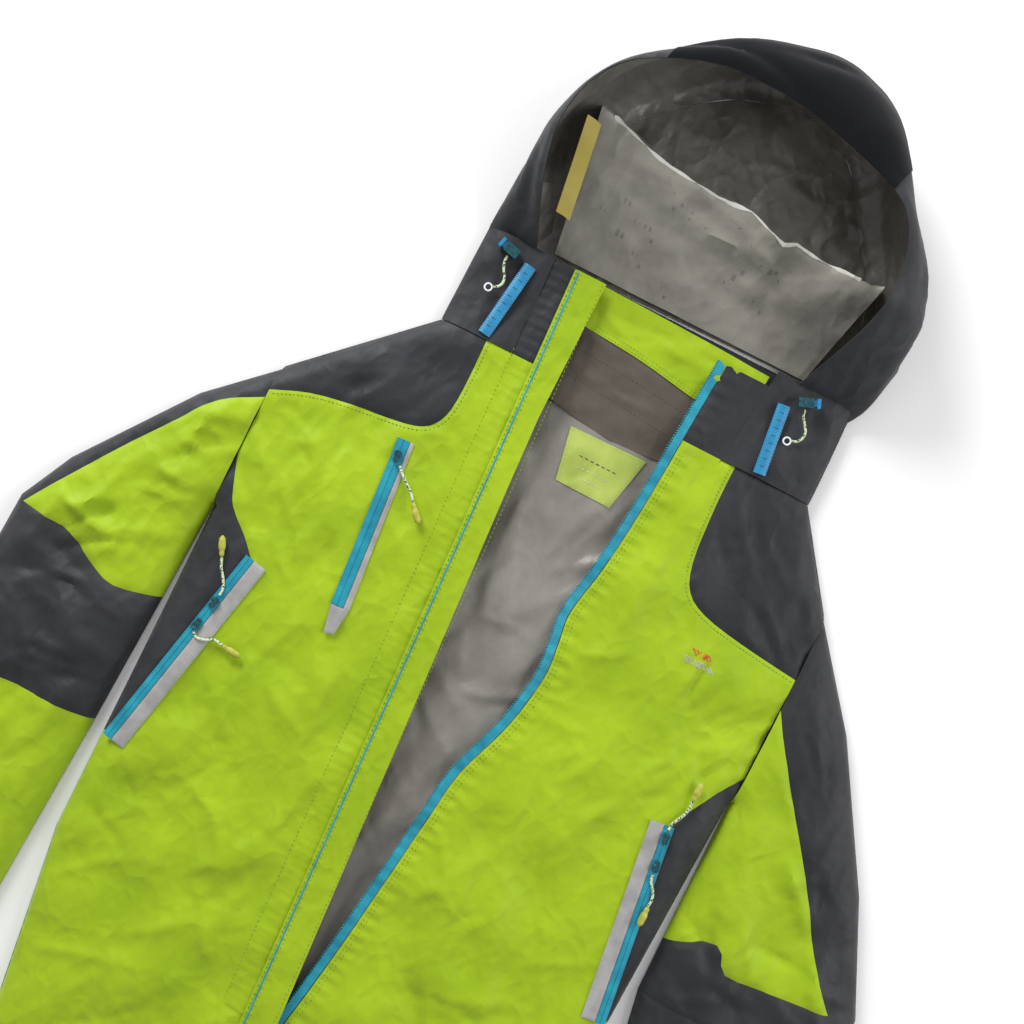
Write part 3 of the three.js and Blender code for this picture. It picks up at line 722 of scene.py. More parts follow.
UNDERARM = 32
EDGE_LEVEL = 2.4  # where the outer face ends at the rolled sides
FRONT_ROLL = 30
front_rolls = [
    [(right_neck, collar_top + 20), (right_neck, neck_seam), right_shoulder],
    [(right_armhole, UNDERARM), right_waist, right_hem],
    [(left_neck, collar_top + 20), (left_neck, neck_seam), left_shoulder],
    [(left_armhole, UNDERARM - 28), left_waist, left_hem],
]
flap_seam = [(-97, collar_top), (-51, hem)]
PULL_REACH = 46  # the cloth stays low within a swinging pull's reach of a zip
chest_zip_line = [(-166, 167), (-152, 3)]
right_zip_line = [(-243, 6), (-286, -200)]
left_zip_line = [(213, -39), (238, -230)]
front_creases = np.concatenate([
    creases(31, 42, ((-290, -110), (-480, 150)), 118, 30, 52, 5.0, 2.2),
    creases(32, 30, ((-280, -60), (-500, -150)), 60, 35, 75, 7.0, 2.6),
    creases(33, 44, ((60, 245), (-480, 130)), 55, 34, 52, 5.0, 2.3),
    creases(34, 26, ((40, 240), (-500, -120)), 110, 35, 75, 7.0, 2.6),
    creases(35, 20, ((-300, -200), (-10, 150)), 100, 30, 34, 3.5, 2.2),
    creases(36, 26, ((170, 255), (-60, 110)), 75, 30, 40, 4.0, 2.6),
    creases(37, 70, ((-300, 255), (-500, 280)), 90, 60, 24, 2.6, 1.1),
    creases(38, 14, ((-290, -150), (170, 280)), 38, 14, 60, 5.0, 2.4),
    creases(39, 14, ((120, 250), (130, 270)), -50, 16, 60, 5.0, 2.4),
    np.array([
        [-215, 100, math.cos(2.2), math.sin(2.2), 90, 8, 2.6, 0.1],
        [-190, -60, math.cos(1.2), math.sin(1.2), 130, 9, 2.6, 0.08],
        [-120, -230, math.cos(1.25), math.sin(1.25), 140, 10, 2.8, -0.06],
        [160, -40, math.cos(1.0), math.sin(1.0), 110, 9, 2.8, 0.12],
        [120, -220, math.cos(1.9), math.sin(1.9), 150, 10, 2.8, 0.06],
        [90, 120, math.cos(1.45), math.sin(1.45), 100, 7, 2.2, -0.1],
    ]),
])


def flatness(p):
    """0 beside a zip or a stitched strip, where the cloth is held flat, and 1 away from it."""
    calm = np.ones(len(p))
    for line, width in ((chest_zip_line, 11), (right_zip_line, 16), (left_zip_line, 16), (flap_seam, 5)):
        calm = np.minimum(calm, np.clip((distance(p, line) - width) / 14, 0, 1))
    return calm


def front_height(p):
    """Outer face of the fronts and yokes."""
    edge = np.min([distance(p, line) for line in front_rolls], axis=0)
    base = EDGE_LEVEL + (LOFT - EDGE_LEVEL) * rolled(edge, FRONT_ROLL)
    loose = 1.75 * folds(p, front_creases) + swell(p, 7, 130, 2.4) - 3.2
    beside = p[:, 0] - np.array([x_at(flap_seam, y) for y in p[:, 1]])
    band = np.clip((beside + 24) / 6, 0, 1) * np.clip(-beside / 4 + 1, 0, 1)
    pucker = 0.8 * np.sin(2 * np.pi * p[:, 1] / 9.5 + 1.2 * np.sin(p[:, 1] / 31)) * band
    pocket_lines = (chest_zip_line, right_zip_line, left_zip_line)
    from_zips = np.min([distance(p, line) for line in pocket_lines], axis=0)
    highest = 0.2 + 3.4 * np.clip((from_zips - PULL_REACH) / 25, 0, 1)
    loose = np.maximum(highest - np.log1p(np.exp((highest - loose * flatness(p)) * 1.5)) / 1.5, -12)
    return base + (loose + pucker) * np.clip(edge / 22, 0.12, 1)


def sewn(outline, free=()):
    """Front height with a groove and puckers where the panel's edges are sewn."""
    sides = [s for i, s in enumerate(zip(outline, outline[1:] + outline[:1])) if i not in free]

    def height(p):
        d = np.min([distance(p, list(side)) for side in sides], axis=0)
        ripple = np.sin(2 * np.pi * (p[:, 0] + p[:, 1] * 0.83) / 8.5)
        groove = 1.5 * np.exp(-(d / 2.4) ** 2)
        return front_height(p) - groove + 0.45 * ripple * np.exp(-d / 7) * np.clip(d / 2, 0, 1)
    return height


right_yoke_seam = curve([
    (-140, neck_seam), (-139, 248), (-140, 212), (-148, 193), (-163, 183), (-190, 178), (-225, 174),
    (-264, 166), (right_armhole, 152),
], 3)
left_yoke_seam = curve([
    (117, neck_seam), (118, 235), (123, 186), (133, 161), (155, 148), (196, 140), (left_armhole, 133),
], 3)
right_gusset = curve([(right_armhole, 86), (-289, 62), (-279, 41), (-256, 20), right_zip_line[0]], 3)
left_gusset = curve([(left_armhole, 30), (240, 8), (224, -18), left_zip_line[0]], 3)
right_side = [(right_armhole + 3.2, -200), right_waist, right_hem]
left_side = [(left_armhole - 8, -230), left_waist, left_hem]
fold_low = zip_end - 0.3
panels = {
    "right_yoke": (right_yoke_seam + [right_shoulder, (right_neck, neck_seam)], charcoal, "charcoal_shell"),
    "left_yoke": (left_yoke_seam + [left_shoulder, (left_neck, neck_seam)], charcoal, "charcoal_shell"),
    "right_front": (
        right_yoke_seam + right_gusset + [right_zip_line[1]] + right_side
        + [(-28.2, hem), (-32.2, fold_low), (x_at(right_fold, zip_end), fold_low),
           (x_at(right_fold, neck_seam), neck_seam)],
        lime, "lime_shell"),
    "left_front": (
        left_yoke_seam + left_gusset + [left_zip_line[1]] + left_side
        + [(-19.8, hem), (-23.8, fold_low), (x_at(left_fold, zip_end), fold_low),
           (x_at(left_fold, neck_seam), neck_seam)],
        lime, "lime_shell"),
    "right_side": (
        right_gusset + [right_zip_line[1], right_side[0], (right_armhole, UNDERARM)],
        charcoal, "charcoal_shell"),
    "left_side": (
        left_gusset + [left_zip_line[1], left_side[0], (left_armhole, 4)], charcoal, "charcoal_shell"),
}
for name, (outline, colour, slot) in panels.items():
    count = len(outline)
    free = {count - 3, count - 2} if name.endswith("front") else set()
    panel = cloth(f"{name}_cloth", outline, sewn(outline, free), colour, grey_lining, step=4.5)
    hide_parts(name if name.endswith("yoke") else f"{name}_panel")
    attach(panel, "torso")

for side, seam in (("right", right_yoke_seam), ("left", left_yoke_seam)):
    away = -1 if side == "right" else 1
    row = stitches(f"{side}_yoke_stitch", seam, front_height, lime_thread, 2.2, 1.5, 0.6, -3.4 * away)
    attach(row, "torso")

# ---------------------------------------------------------------- collar sides
# Charcoal panels beside the neck, each with a stitched blue tunnel for the hood's cord.
collar_creases = np.concatenate([
    creases(41, 14, ((right_neck, -110), (neck_seam, collar_top)), 75, 20, 40, 5, 2.6),
    creases(42, 14, ((110, left_neck), (neck_seam, collar_top)), 105, 20, 40, 5, 2.6),
])


def collar_height(p):
    return front_height(p) + np.minimum(folds(p, collar_creases), 1.2)


for side, fold, neck, shift in (("right", right_fold, right_neck, 2), ("left", left_fold, left_neck, -4)):
    outline = [(neck, neck_seam + 0.4), (x_at(fold, neck_seam), neck_seam + 0.4), (fold[0][0], collar_top),
               (neck + shift, collar_top)]
    if side == "left":
        outline = outline[::-1]
    panel = cloth(f"{side}_collar_cloth", outline, collar_height, charcoal, grey_lining, step=4)
    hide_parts(f"{side}_collar_side")
    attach(panel, "torso")

# ---------------------------------------------------------------- front edges
# The strips beside the open zip, with the collar's front corners. They continue the fronts past
# the fold line.
PEEL = 200
edge_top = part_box("right_front_edge")[1].y / MM
left_edge_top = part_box("left_front_edge")[1].y / MM


def peel(item):
    """Bakes the strip's placement into its mesh."""
    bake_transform(item)


RIGHT_EDGE = -73.5
right_edge_outline = [
    (x_at(right_fold, zip_end), fold_low), (-46, fold_low), (-60, -80), (-74, 230), (RIGHT_EDGE, neck_seam),
    (x_at(right_fold, neck_seam), neck_seam),
]
right_corner_outline = [
    (RIGHT_EDGE, neck_seam), (RIGHT_EDGE, edge_top), (x_at(right_fold, edge_top), edge_top),
    (x_at(right_fold, neck_seam), neck_seam),
]
right_edge = cloth("right_edge_cloth", right_edge_outline, front_height, lime, grey_lining, 1.2, 4.5)
right_corner = cloth("right_collar_corner", right_corner_outline, front_height, charcoal, lime, step=4)
for item in (right_edge, right_corner):
    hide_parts("right_front_edge")
    peel(item)

left_zip_curve = curve([
    (68, left_edge_top), (63, 285), (58, 200), (51, 140), (43, 95), (46, 65), (49, 35), (45, 2), (37, -32),
    (19, -85), (12, -135), (5, -190), (-8, -290), (-22, fold_low),
], 6)
zip_levels = np.array(left_zip_curve)[::-1]
at_neck = (float(np.interp(neck_seam, zip_levels[:, 1], zip_levels[:, 0])), neck_seam)
left_edge_outline = [at_neck] + [q for q in left_zip_curve if q[1] < neck_seam - 1] + [
    (x_at(left_fold, zip_end), fold_low), (x_at(left_fold, neck_seam), neck_seam),
]
left_corner_outline = [q for q in left_zip_curve if q[1] > neck_seam + 1] + [
    at_neck, (x_at(left_fold, neck_seam), neck_seam), (x_at(left_fold, left_edge_top), left_edge_top),
]


def beside_zip(p):
    """The front's height, gathered in short puckers along the zip tape."""
    d = distance(p, left_zip_curve)
    ripple = 0.9 * np.sin(2 * np.pi * p[:, 1] / 13 + 1.6 * np.sin(p[:, 1] / 23))
    return front_height(p) + ripple * np.exp(-((d - 9) / 8) ** 2) - 0.9 * np.exp(-(d / 2) ** 2)


left_edge = cloth("left_edge_cloth", left_edge_outline, beside_zip, lime, grey_lining, 1.2, 4)
left_corner = cloth("left_collar_corner", left_corner_outline, beside_zip, charcoal, lime, step=4)
for item in (left_edge, left_corner):
    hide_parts("left_front_edge")
    peel(item)
below_neck = [q for q in left_zip_curve if q[1] < neck_seam - 3]
for name, inset in (("left_edge_stitch", 3.2), ("left_edge_stitch_outer", 6.4)):
    row = stitches(name, below_neck, beside_zip, lime_thread, 2.4, 1.8, 0.6, inset)
    peel(row)

# ---------------------------------------------------------------- zips
# Water-resistant zips: a turquoise coated tape over a hidden coil, with a fine groove where the
# two halves meet. The front zip shows one half of its tape, with teeth on the free edge.


def coated_tape(name, dark, lit):
    material, nodes, links, shader = new_material(name, 0.38, 0.5)
    place = coordinates(nodes, (1, 1, 1))
    links.new(ramp(nodes, noise(nodes, place, 60, 3), [(0.3, dark), (0.7, lit)]), shader.inputs["Base Color"])
    rib = nodes.new("ShaderNodeTexWave")
    rib.bands_direction = "Y"
    rib.inputs["Scale"].default_value = 190
    rib.inputs["Distortion"].default_value = 0.3
    links.new(place, rib.inputs["Vector"])
    links.new(bump(nodes, rib.outputs["Fac"], 0.35, 0.0004), shader.inputs["Normal"])
    return material


turquoise = coated_tape("turquoise_tape", (0.004, 0.20, 0.30), (0.014, 0.33, 0.44))
silver = coated_tape("silver_tape", (0.27, 0.265, 0.26), (0.40, 0.39, 0.385))


def strip(name, line, profile, height, material, step=4):
    """A strip along a line; its profile is (offset to the left, rise) across it."""
    line = np.array(line, float)
    lengths = np.concatenate([[0], np.cumsum(np.linalg.norm(np.diff(line, axis=0), axis=1))])
    at = np.linspace(0, lengths[-1], max(2, int(lengths[-1] / step)))
    path = np.stack([np.interp(at, lengths, line[:, 0]), np.interp(at, lengths, line[:, 1])], 1)
    d = np.gradient(path, axis=0)
    d /= np.linalg.norm(d, axis=1)[:, None]
    left = np.stack([-d[:, 1], d[:, 0]], 1)
    points, faces = [], []
    count = len(profile)
    for place, side in zip(path, left):
        flat = np.array([place + side * offset for offset, _ in profile])
        for (x, y), z, (_, rise) in zip(flat, height(flat), profile):
            points.append((x * MM, y * MM, (z + rise) * MM))
    for i in range(len(path) - 1):
        for j in range(count):
            k = (j + 1) % count
            faces.append((i * count + j, (i + 1) * count + j, (i + 1) * count + k, i * count + k))
    faces.append(tuple(range(count)))
    faces.append(tuple(reversed(range((len(path) - 1) * count, len(path) * count))))
    mesh = bpy.data.meshes.new(name)
    mesh.from_pydata(points, [], faces)
    item = piece(name, mesh, material)
    mesh.set_sharp_from_angle(angle=math.radians(40))
    return item


def zip_profile(width):
    """A closed zip: two flat halves that rise over the coil and meet in a groove."""
    half = width / 2
    top = [(-half, 0.1), (-half, 0.85), (-2.2, 0.9), (-1.2, 1.1), (-0.25, 1.15), (0, 0.6)]
    return top + [(-x, z) for x, z in reversed(top[:-1])]


def flat_at(level):
    return lambda p: np.full(len(p), level)


TAPE = 8.5
tape_profile = [(-0.8, -1.4), (-0.8, -0.4), (-TAPE, -0.2), (-TAPE, -1.4)]
left_tape = strip("left_front_tape", left_zip_curve, tape_profile, beside_zip, turquoise)
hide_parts("left_zip_tape")
peel(left_tape)
teeth = stitches("left_front_teeth", left_zip_curve, lambda p: beside_zip(p) - 0.6, turquoise, 1.4, 1.2,
                 1.9, -TAPE - 0.7, 0.5)
peel(teeth)
closed_line = [(-28, fold_low), (-24, hem)]
closed_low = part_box("closed_zip")[0].z / MM
closed = strip("closed_front_zip", closed_line, zip_profile(7.6), flat_at(closed_low), turquoise)
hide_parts("closed_zip")
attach(closed, "torso")


def off(line, distance_left):
    """A straight line moved to its left."""
    a, b = (np.array(p, float) for p in line)
    d = (b - a) / np.linalg.norm(b - a)
    left = np.array([-d[1], d[0]]) * distance_left
    return [tuple(a + left), tuple(b + left)]


def welt(name, node, outline):
    """A silver strip beside a zip, pressed down along its cut edges."""
    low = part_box(node)[0].z / MM

    def height(p):
        return low + 1.15 - 0.9 * np.exp(-(distance(p, outline, True) / 1.1) ** 2)

    item = cloth(name, outline, height, silver, silver, 0.9, 1.8)
    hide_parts(node)
    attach(item, "torso")


CHEST_ZIP, SIDE_ZIP, WELT = 12, 9, 14
pocket_zips = (("chest", chest_zip_line, CHEST_ZIP), ("right_side", right_zip_line, SIDE_ZIP),
               ("left_side", left_zip_line, SIDE_ZIP))
for name, line, width in pocket_zips:
    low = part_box(f"{name}_zip")[0].z / MM
    tape = strip(f"{name}_zip_tape", line, zip_profile(width), flat_at(low), turquoise)
    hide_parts(f"{name}_zip")
    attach(tape, "torso")
    for side in (-1, 1):
        seam_line = off(line, side * (width / 2 - 0.7))
        row = stitches(f"{name}_zip_stitch_{side + 1}", seam_line, flat_at(low + 0.8), dark_thread, 1.8,
                       1.2, 0.45, 0, 0)
        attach(row, "torso")
for name, line, sign in (("right_side", right_zip_line, 1), ("left_side", left_zip_line, -1)):
    near, far = off(line, sign * (SIDE_ZIP / 2 + 0.3)), off(line, sign * (SIDE_ZIP / 2 + WELT))
    outline = near + far[::-1] if sign > 0 else far + near[::-1]
    welt(f"{name}_welt_cloth", f"{name}_welt", outline)
near = off(chest_zip_line, CHEST_ZIP / 2 + 0.3)
foot = off(chest_zip_line, -CHEST_ZIP / 2)[1]
tail = (-149.6, -24.9)
welt("chest_welt_cloth", "chest_welt", [
    near[0], near[1], (near[1][0], near[1][1] - 0.3), (foot[0], near[1][1] - 0.3), (tail[0] - 2, tail[1]),
    (tail[0] + 7, tail[1] + 3), (near[1][0] + 6, near[1][1]), (near[0][0] + 4, near[0][1]),
])


def zinc_material():
    material, nodes, links, shader = new_material("enamelled_zinc", 0.32, 0.6)
    shader.inputs["Metallic"].default_value = 0.6
    place = coordinates(nodes, (1, 1, 1))
    links.new(ramp(nodes, noise(nodes, place, 400, 4), [
        (0.35, (0.015, 0.07, 0.09)), (0.62, (0.03, 0.13, 0.16)), (0.8, (0.25, 0.32, 0.34)),
    ]), shader.inputs["Base Color"])
    links.new(bump(nodes, noise(nodes, place, 900, 2), 0.2, 0.0002), shader.inputs["Normal"])
    return material


def finish_solid(node, material):
    """Gives a carried-over CAD solid its finished material."""
    bpy.data.objects[node].data.materials.clear()
    bpy.data.objects[node].data.materials.append(material)


zinc = zinc_material()
for name in ("chest", "right_upper", "right_lower", "left_upper", "left_lower", "main"):
    finish_solid(f"{name}_slider", zinc)
finish_solid("main_pull", olive_grip)

# ---------------------------------------------------------------- storm flap
# A lime strip of doubled nylon, sewn along its outer side with two rows and free along the zip.
FLAP = 33
PEEL_TOP = zip_end + PEEL
flap_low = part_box("storm_flap")[1].z / MM - SHELL


def flap_free(y):
    return x_at([(-65, 230), (x_at(flap_seam, zip_end) + FLAP, zip_end)], min(y, 230))


flap_creases = creases(51, 36, ((-100, -20), (-500, 370)), 96, 10, 60, 5, 0.9)


def flap_height(p):
    out = p[:, 0] - np.array([x_at(flap_seam, y) for y in p[:, 1]])
    rise = np.clip(out / 5, 0, 1)
    wave = 0.35 * np.sin(2 * np.pi * p[:, 1] / 10 + 1.1 * np.sin(p[:, 1] / 27))
    ripple = wave * np.exp(-((out - 4) / 6) ** 2)
    droop = 0.5 * np.clip(out - 28, 0, 6) / 5
    return flap_low - 1.2 + 2.5 * rise * (2 - rise) + ripple + folds(p, flap_creases) - droop


def flap_side(top, bottom):
    """Outline of one stretch of the flap."""
    levels = np.linspace(bottom, top, max(3, int((top - bottom) / 60)))
    free = [(flap_free(y), y) for y in levels]
    return free + [(x_at(flap_seam, y), y) for y in levels[::-1]]


upper_flap = cloth("upper_flap_cloth", flap_side(edge_top, PEEL_TOP), flap_height, lime, lime, SHELL,
                   3.6)
lower_flap = cloth("lower_flap_cloth", flap_side(PEEL_TOP, hem), flap_height, lime, lime, SHELL, 3.6)
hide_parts("storm_flap")
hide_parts("storm_flap")
peel(upper_flap)
peel(lower_flap)
flap_stretches = (
    ("upper", edge_top - 2, PEEL_TOP, "right_edge", "flap", PEEL_TOP),
    ("lower", PEEL_TOP, hem + 2, "torso", "right_edge", zip_end),
)
for row, inset in enumerate((2.2, 6.8, 29.2)):
    for part, top, bottom, fixed, moving, start in flap_stretches:
        line = [(x_at(flap_seam, y) + inset, y) for y in (top, (top + bottom) / 2, bottom)]
        thread = stitches(f"{part}_flap_stitch_{row}", line, flap_height, lime_thread, 2.6, 1.9, 0.6)
        peel(thread)
for part, top, bottom, fixed, moving, start in flap_stretches:
    pipe = strip(f"{part}_flap_piping", [(x_at(flap_seam, y) + 4.4, y) for y in (top, bottom)],
                 [(-0.8, -0.6), (-0.6, 0.45), (0.6, 0.45), (0.8, -0.6)], flap_height, turquoise)
    peel(pipe)
band_line = [(x_at(flap_seam, y) - 22, y) for y in (edge_top - 90, zip_end + 6)]
band_stitch = stitches("placket_stitch", band_line, front_height, lime_thread, 2.6, 1.9, 0.6)
peel(band_stitch)

# ---------------------------------------------------------------- sleeves
# Each sleeve is a flat-lying tube: a rumpled lime panel let into a charcoal outer, a forearm and
# a gathered cuff. The coated cloth stands in deep folds where the arm was bent.
SLEEVE_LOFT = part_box("right_forearm")[1].z / MM
SLEEVE_EDGE = 2.2
SLEEVE_ROLL = 34
right_top = right_armhole - 0.5
left_top = left_armhole + 0.5
right_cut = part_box("right_forearm")[1].y / MM
left_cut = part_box("left_forearm")[1].y / MM
right_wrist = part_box("right_forearm")[0].y / MM
left_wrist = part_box("left_forearm")[0].y / MM
sleeve_rolls = {
    "right": [
        [(right_top, UNDERARM), (-307, right_cut), (-318, right_wrist)],
        [(right_top, 175), (-357, 120), (-437, 12), (-463, -40), (-470, right_cut), (-452, right_wrist)],
    ],
    "left": [
        [(left_top, 4), (259.5, left_cut), (310, left_wrist)],
        [(left_top, 196), (326, 108), (405, -21), (454, -125), (458, left_cut), (442, left_wrist)],
    ],
}
sleeve_creases = {
    "right": np.concatenate([
        creases(61, 30, ((-430, -305), (-60, 130)), 60, 28, 46, 6, 4.6),
        creases(62, 22, ((-460, -310), (-190, -50)), 5, 25, 55, 7, 4.6),
        creases(63, 34, ((-450, -320), (-420, -190)), 75, 25, 60, 6, 2.8),
        creases(64, 40, ((-460, -300), (-420, 170)), 40, 60, 22, 3, 1.5),
        creases(65, 10, ((-340, -300), (20, 140)), 12, 12, 42, 5, 3.4),
    ]),
    "left": np.concatenate([
        creases(71, 26, ((262, 410), (-130, 90)), 110, 25, 46, 6, 4.2),
        creases(72, 24, ((262, 450), (-200, -100)), -8, 22, 50, 6, 4.4),
        creases(73, 34, ((280, 440), (-470, -190)), 98, 25, 60, 6, 2.8),
        creases(74, 40, ((262, 450), (-460, 180)), 120, 60, 22, 3, 1.5),
        creases(75, 12, ((262, 420), (0, 160)), 118, 10, 60, 5, 2.6),
    ]),
}


def sleeve_height(side, outline=None):
    sign, armhole = (-1, right_armhole) if side == "right" else (1, left_armhole)

    def height(p):
        edge = np.min([distance(p, line) for line in sleeve_rolls[side]], axis=0)
        out = np.clip((p[:, 0] - armhole) * sign / 60, 0, 1)
        full = LOFT - 1 + (SLEEVE_LOFT - LOFT + 1) * out
        loose = 1.7 * folds(p, sleeve_creases[side]) + swell(p, 8, 90, 2.6) - 3.5
        loose = np.clip(loose * (0.35 + 0.65 * out), -15, 6)
        z = SLEEVE_EDGE + (full - SLEEVE_EDGE) * rolled(edge, SLEEVE_ROLL)
        z = z + loose * np.clip(edge / 26, 0.08, 1)
        if outline:
            z = z - 1.4 * np.exp(-(distance(p, outline, True) / 2.4) ** 2)
        return np.maximum(z, 1.8)
    return height


right_lime_seam = curve([
    (right_top, 144), (-327, 128), (-346, 111), (-362, 88), (-390, 52), (-420, 8), (-455, -43),
], 3)
right_elbow_seam = curve([(-455, -43), (-430, -45), (-402, -49), (-372, -65), (-344, -74), (-302, -66)], 3)
left_lime_seam = curve([
    (left_top, 102), (277, 69), (324, 5), (353, -36), (378, -74), (400, -106), (421, -128),
], 3)
left_elbow_seam = curve([(421, -128), (370, -134), (320, -138), (302, -117), (258.5, -137)], 3)
sleeve_pieces = {
    "right": {
        "lime": (right_lime_seam + right_elbow_seam[1:] + [(right_top, UNDERARM)], lime),
        "outer": (right_lime_seam + right_elbow_seam[1:] + [
            (-307, right_cut), (-470, right_cut), (-463, -40), (-437, 12), (-357, 120),
            (right_top, 175)], charcoal),
        "forearm": ([(-307, right_cut), (-318, right_wrist), (-452, right_wrist), (-470, right_cut)], lime),
    },
    "left": {
        "lime": (left_lime_seam + left_elbow_seam[1:] + [(left_top, 4)], lime),
        "outer": (left_lime_seam + left_elbow_seam[1:] + [
            (259.5, left_cut), (458, left_cut), (454, -125), (405, -21), (326, 108),
            (left_top, 196)], charcoal),
        "forearm": ([(259.5, left_cut), (310, left_wrist), (442, left_wrist), (458, left_cut)], charcoal),
    },
}


def at_armhole(item):
    """Bakes the cloth's placement into its mesh."""
    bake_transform(item)


sleeve_nodes = {"lime": "sleeve_panel", "outer": "sleeve_outer", "forearm": "forearm"}
for side, parts in sleeve_pieces.items():
    for part, (outline, colour) in parts.items():
        slot = "lime_shell" if colour == lime else "charcoal_shell"
        item = cloth(f"{side}_sleeve_{part}_cloth", outline, sleeve_height(side, outline), colour,
                     grey_lining, step=4.5)
        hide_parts(f"{side}_{sleeve_nodes[part]}")
        at_armhole(item)
    inner, outer = sleeve_rolls[side]
    under = inner + outer[::-1]
    item = cloth(f"{side}_sleeve_under_cloth", under, flat_at(1.6), grey_lining, charcoal, 1.0, 9)
    at_armhole(item)

# ---------------------------------------------------------------- cuffs and tabs
# Charcoal cuffs, gathered a little, with a rubbery black tab that closes over hook tape.
black_rubber = nylon("black_tab", (0.008, 0.009, 0.011), (0.016, 0.017, 0.02), 0.12, 0.45, 0.5)
for side, sign in (("right", -1), ("left", 1)):
    low, high = (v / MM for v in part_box(f"{side}_cuff"))
    inner, outer = (high.x, low.x) if sign < 0 else (low.x, high.x)
    middle = (low.y + high.y) / 2

    def cuff_height(p, near=inner, far=outer, top=high.z):
        d = np.minimum(np.abs(p[:, 0] - near), np.abs(p[:, 0] - far))
        gather = 0.9 * np.sin(p[:, 0] / 3.1 + np.sin(p[:, 0] / 9)) * np.clip(d / 12, 0, 1)
        return 1.8 + (top - 1.8) * rolled(d, 20) + gather - 0.9

    outline = [(inner, high.y), (inner, low.y), (outer, low.y), (outer, high.y)]
    top = cloth(f"{side}_cuff_top", outline, cuff_height, charcoal, grey_lining, 1.2, 3)
    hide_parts(f"{side}_cuff")
    bottom = cloth(f"{side}_cuff_under", outline, flat_at(1.4), grey_lining, charcoal, 1.0, 6)
    for item in (top, bottom):
        at_armhole(item)
    tab_low, tab_high = (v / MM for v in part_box(f"{side}_cuff_tab"))
    a, b = ((tab_low.x, tab_high.x) if sign < 0 else (tab_high.x, tab_low.x))
    half = (tab_high.y - tab_low.y) / 2
    end = curve([(b, middle + half - 3), (b + sign * -3, middle), (b, middle - half + 3)], 3)
    tab_outline = [(a, middle - half), (a, middle + half)] + [(x + sign * 3, y) for x, y in end]

    def tab_height(p, outline=tab_outline, level=tab_low.z + SHELL):
        return level + 0.2 - 0.7 * np.exp(-(distance(p, outline, True) / 1.2) ** 2)

    tab = cloth(f"{side}_tab_cloth", tab_outline, tab_height, black_rubber, black_rubber, 1.4, 2.5)
    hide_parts(f"{side}_cuff_tab")
    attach(tab, f"{side}_tab")
    ring_line = [tuple(np.array([(a + b) / 2, middle]) + (np.array(p) - [(a + b) / 2, middle]) * 0.88)
                 for p in tab_outline + tab_outline[:1]]
    row = stitches(f"{side}_tab_stitch", ring_line, tab_height, dark_thread, 2, 1.4, 0.5)
    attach(row, f"{side}_tab")

# ---------------------------------------------------------------- hood
# A deep three-panel hood in charcoal that stands open, with its mouth up. It is lined in grey,
# and its rim rises from the collar to the stiff brim.
hood_sides = [
    (-184, 364), (-187, 381), (-184, 420), (-181, 455), (-175, 490), (-158, 528), (-124, 571),
    (-57, 624), (0, 644), (36, 649), (67, 641), (103, 622), (131, 585), (155, 548), (180, 515),
    (198, 480), (206, 440), (206, 405), (202, 381), (192, 364),
]
hood_rim = [
    (-134, 364), (-138, 381), (-152, 414), (-162, 446), (-165, 480), (-155, 520), (-128, 552),
    (-68, 578), (-10, 582), (25, 579), (58, 571), (92, 562), (120, 552), (140, 538), (154, 512),
    (160, 478), (156, 440), (146, 408), (136, 381), (130, 364),
]
RIM_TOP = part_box("hood_brim")[0].z / MM - 2
RIM_LOW = 24
UNDER_COLLAR = 17
hood_seam = hood_low.y
hood_middle = np.array([(hood_low.x + hood_high.x) / 2, hood_seam + 60])
sides_line = np.array(curve(hood_sides, 5))
rim_line = np.array(curve(hood_rim, 5))
rim_height = np.minimum(RIM_TOP, RIM_LOW + (rim_line[:, 1] - hood_seam) * 0.95)
rim_height = np.where(rim_line[:, 1] < hood_seam, UNDER_COLLAR, rim_height)


def hood_point(i, t, out=0.0):
    """On the hood's wall: t is -1 on the floor, 0 at the widest and 1 on the rim."""
    side, rim, top = sides_line[i], rim_line[i], rim_height[i]
    middle = top * 0.52
    away = side - hood_middle
    away /= np.linalg.norm(away)
    if t >= 0:
        flat = side + (rim - side) * (1 - math.cos(t * math.pi / 2))
        z = middle + (top - middle) * math.sin(t * math.pi / 2)
        flat = flat + away * out * math.cos(t * math.pi / 2)
        return [*flat, z + out * math.sin(t * math.pi / 2)]
    floor_point = hood_middle + (side - hood_middle) * 0.8
    floor_point[1] = max(floor_point[1], hood_seam - 14)
    flat = side + (floor_point - side) * (1 - math.cos(t * math.pi / 2))
    return [*(flat + away * out), 1.6 + (middle - 1.6) * (1 + math.sin(t * math.pi / 2))]


hood_rows = list(np.linspace(-1, 1, 31))
hood_rng = np.random.default_rng(81)
count = len(sides_line)
DENTS = 90
dent_ranges = ((0, count), (-0.8, 1), (3, 14), (0.05, 0.22), (-5.0, 3.2), (-0.05, 0.05))
dents = [[hood_rng.uniform(*span) for span in dent_ranges] for _ in range(DENTS)]


def hood_dent(i, t):
    total = 0.0
    for at, level, wide, tall, depth, slant in dents:
        u, v = (i - at) / wide, (t - level - slant * (i - at)) / tall
        if abs(u) < 2.5 and abs(v) < 3:
            total += depth * math.exp(-u * u - abs(v) * 1.2)
    return total


def hood_surface(name, columns, rows, out, outer, inner, thickness):
    points = [hood_point(i, t, out + hood_dent(i, t) * (1 - abs(t) ** 6)) for i in columns for t in rows]
    n = len(rows)
    faces = [(a * n + b, a * n + b + 1, (a + 1) * n + b + 1, (a + 1) * n + b)
             for a in range(len(columns) - 1) for b in range(n - 1)]
    return two_sided(name, points, faces, thickness, outer, inner)


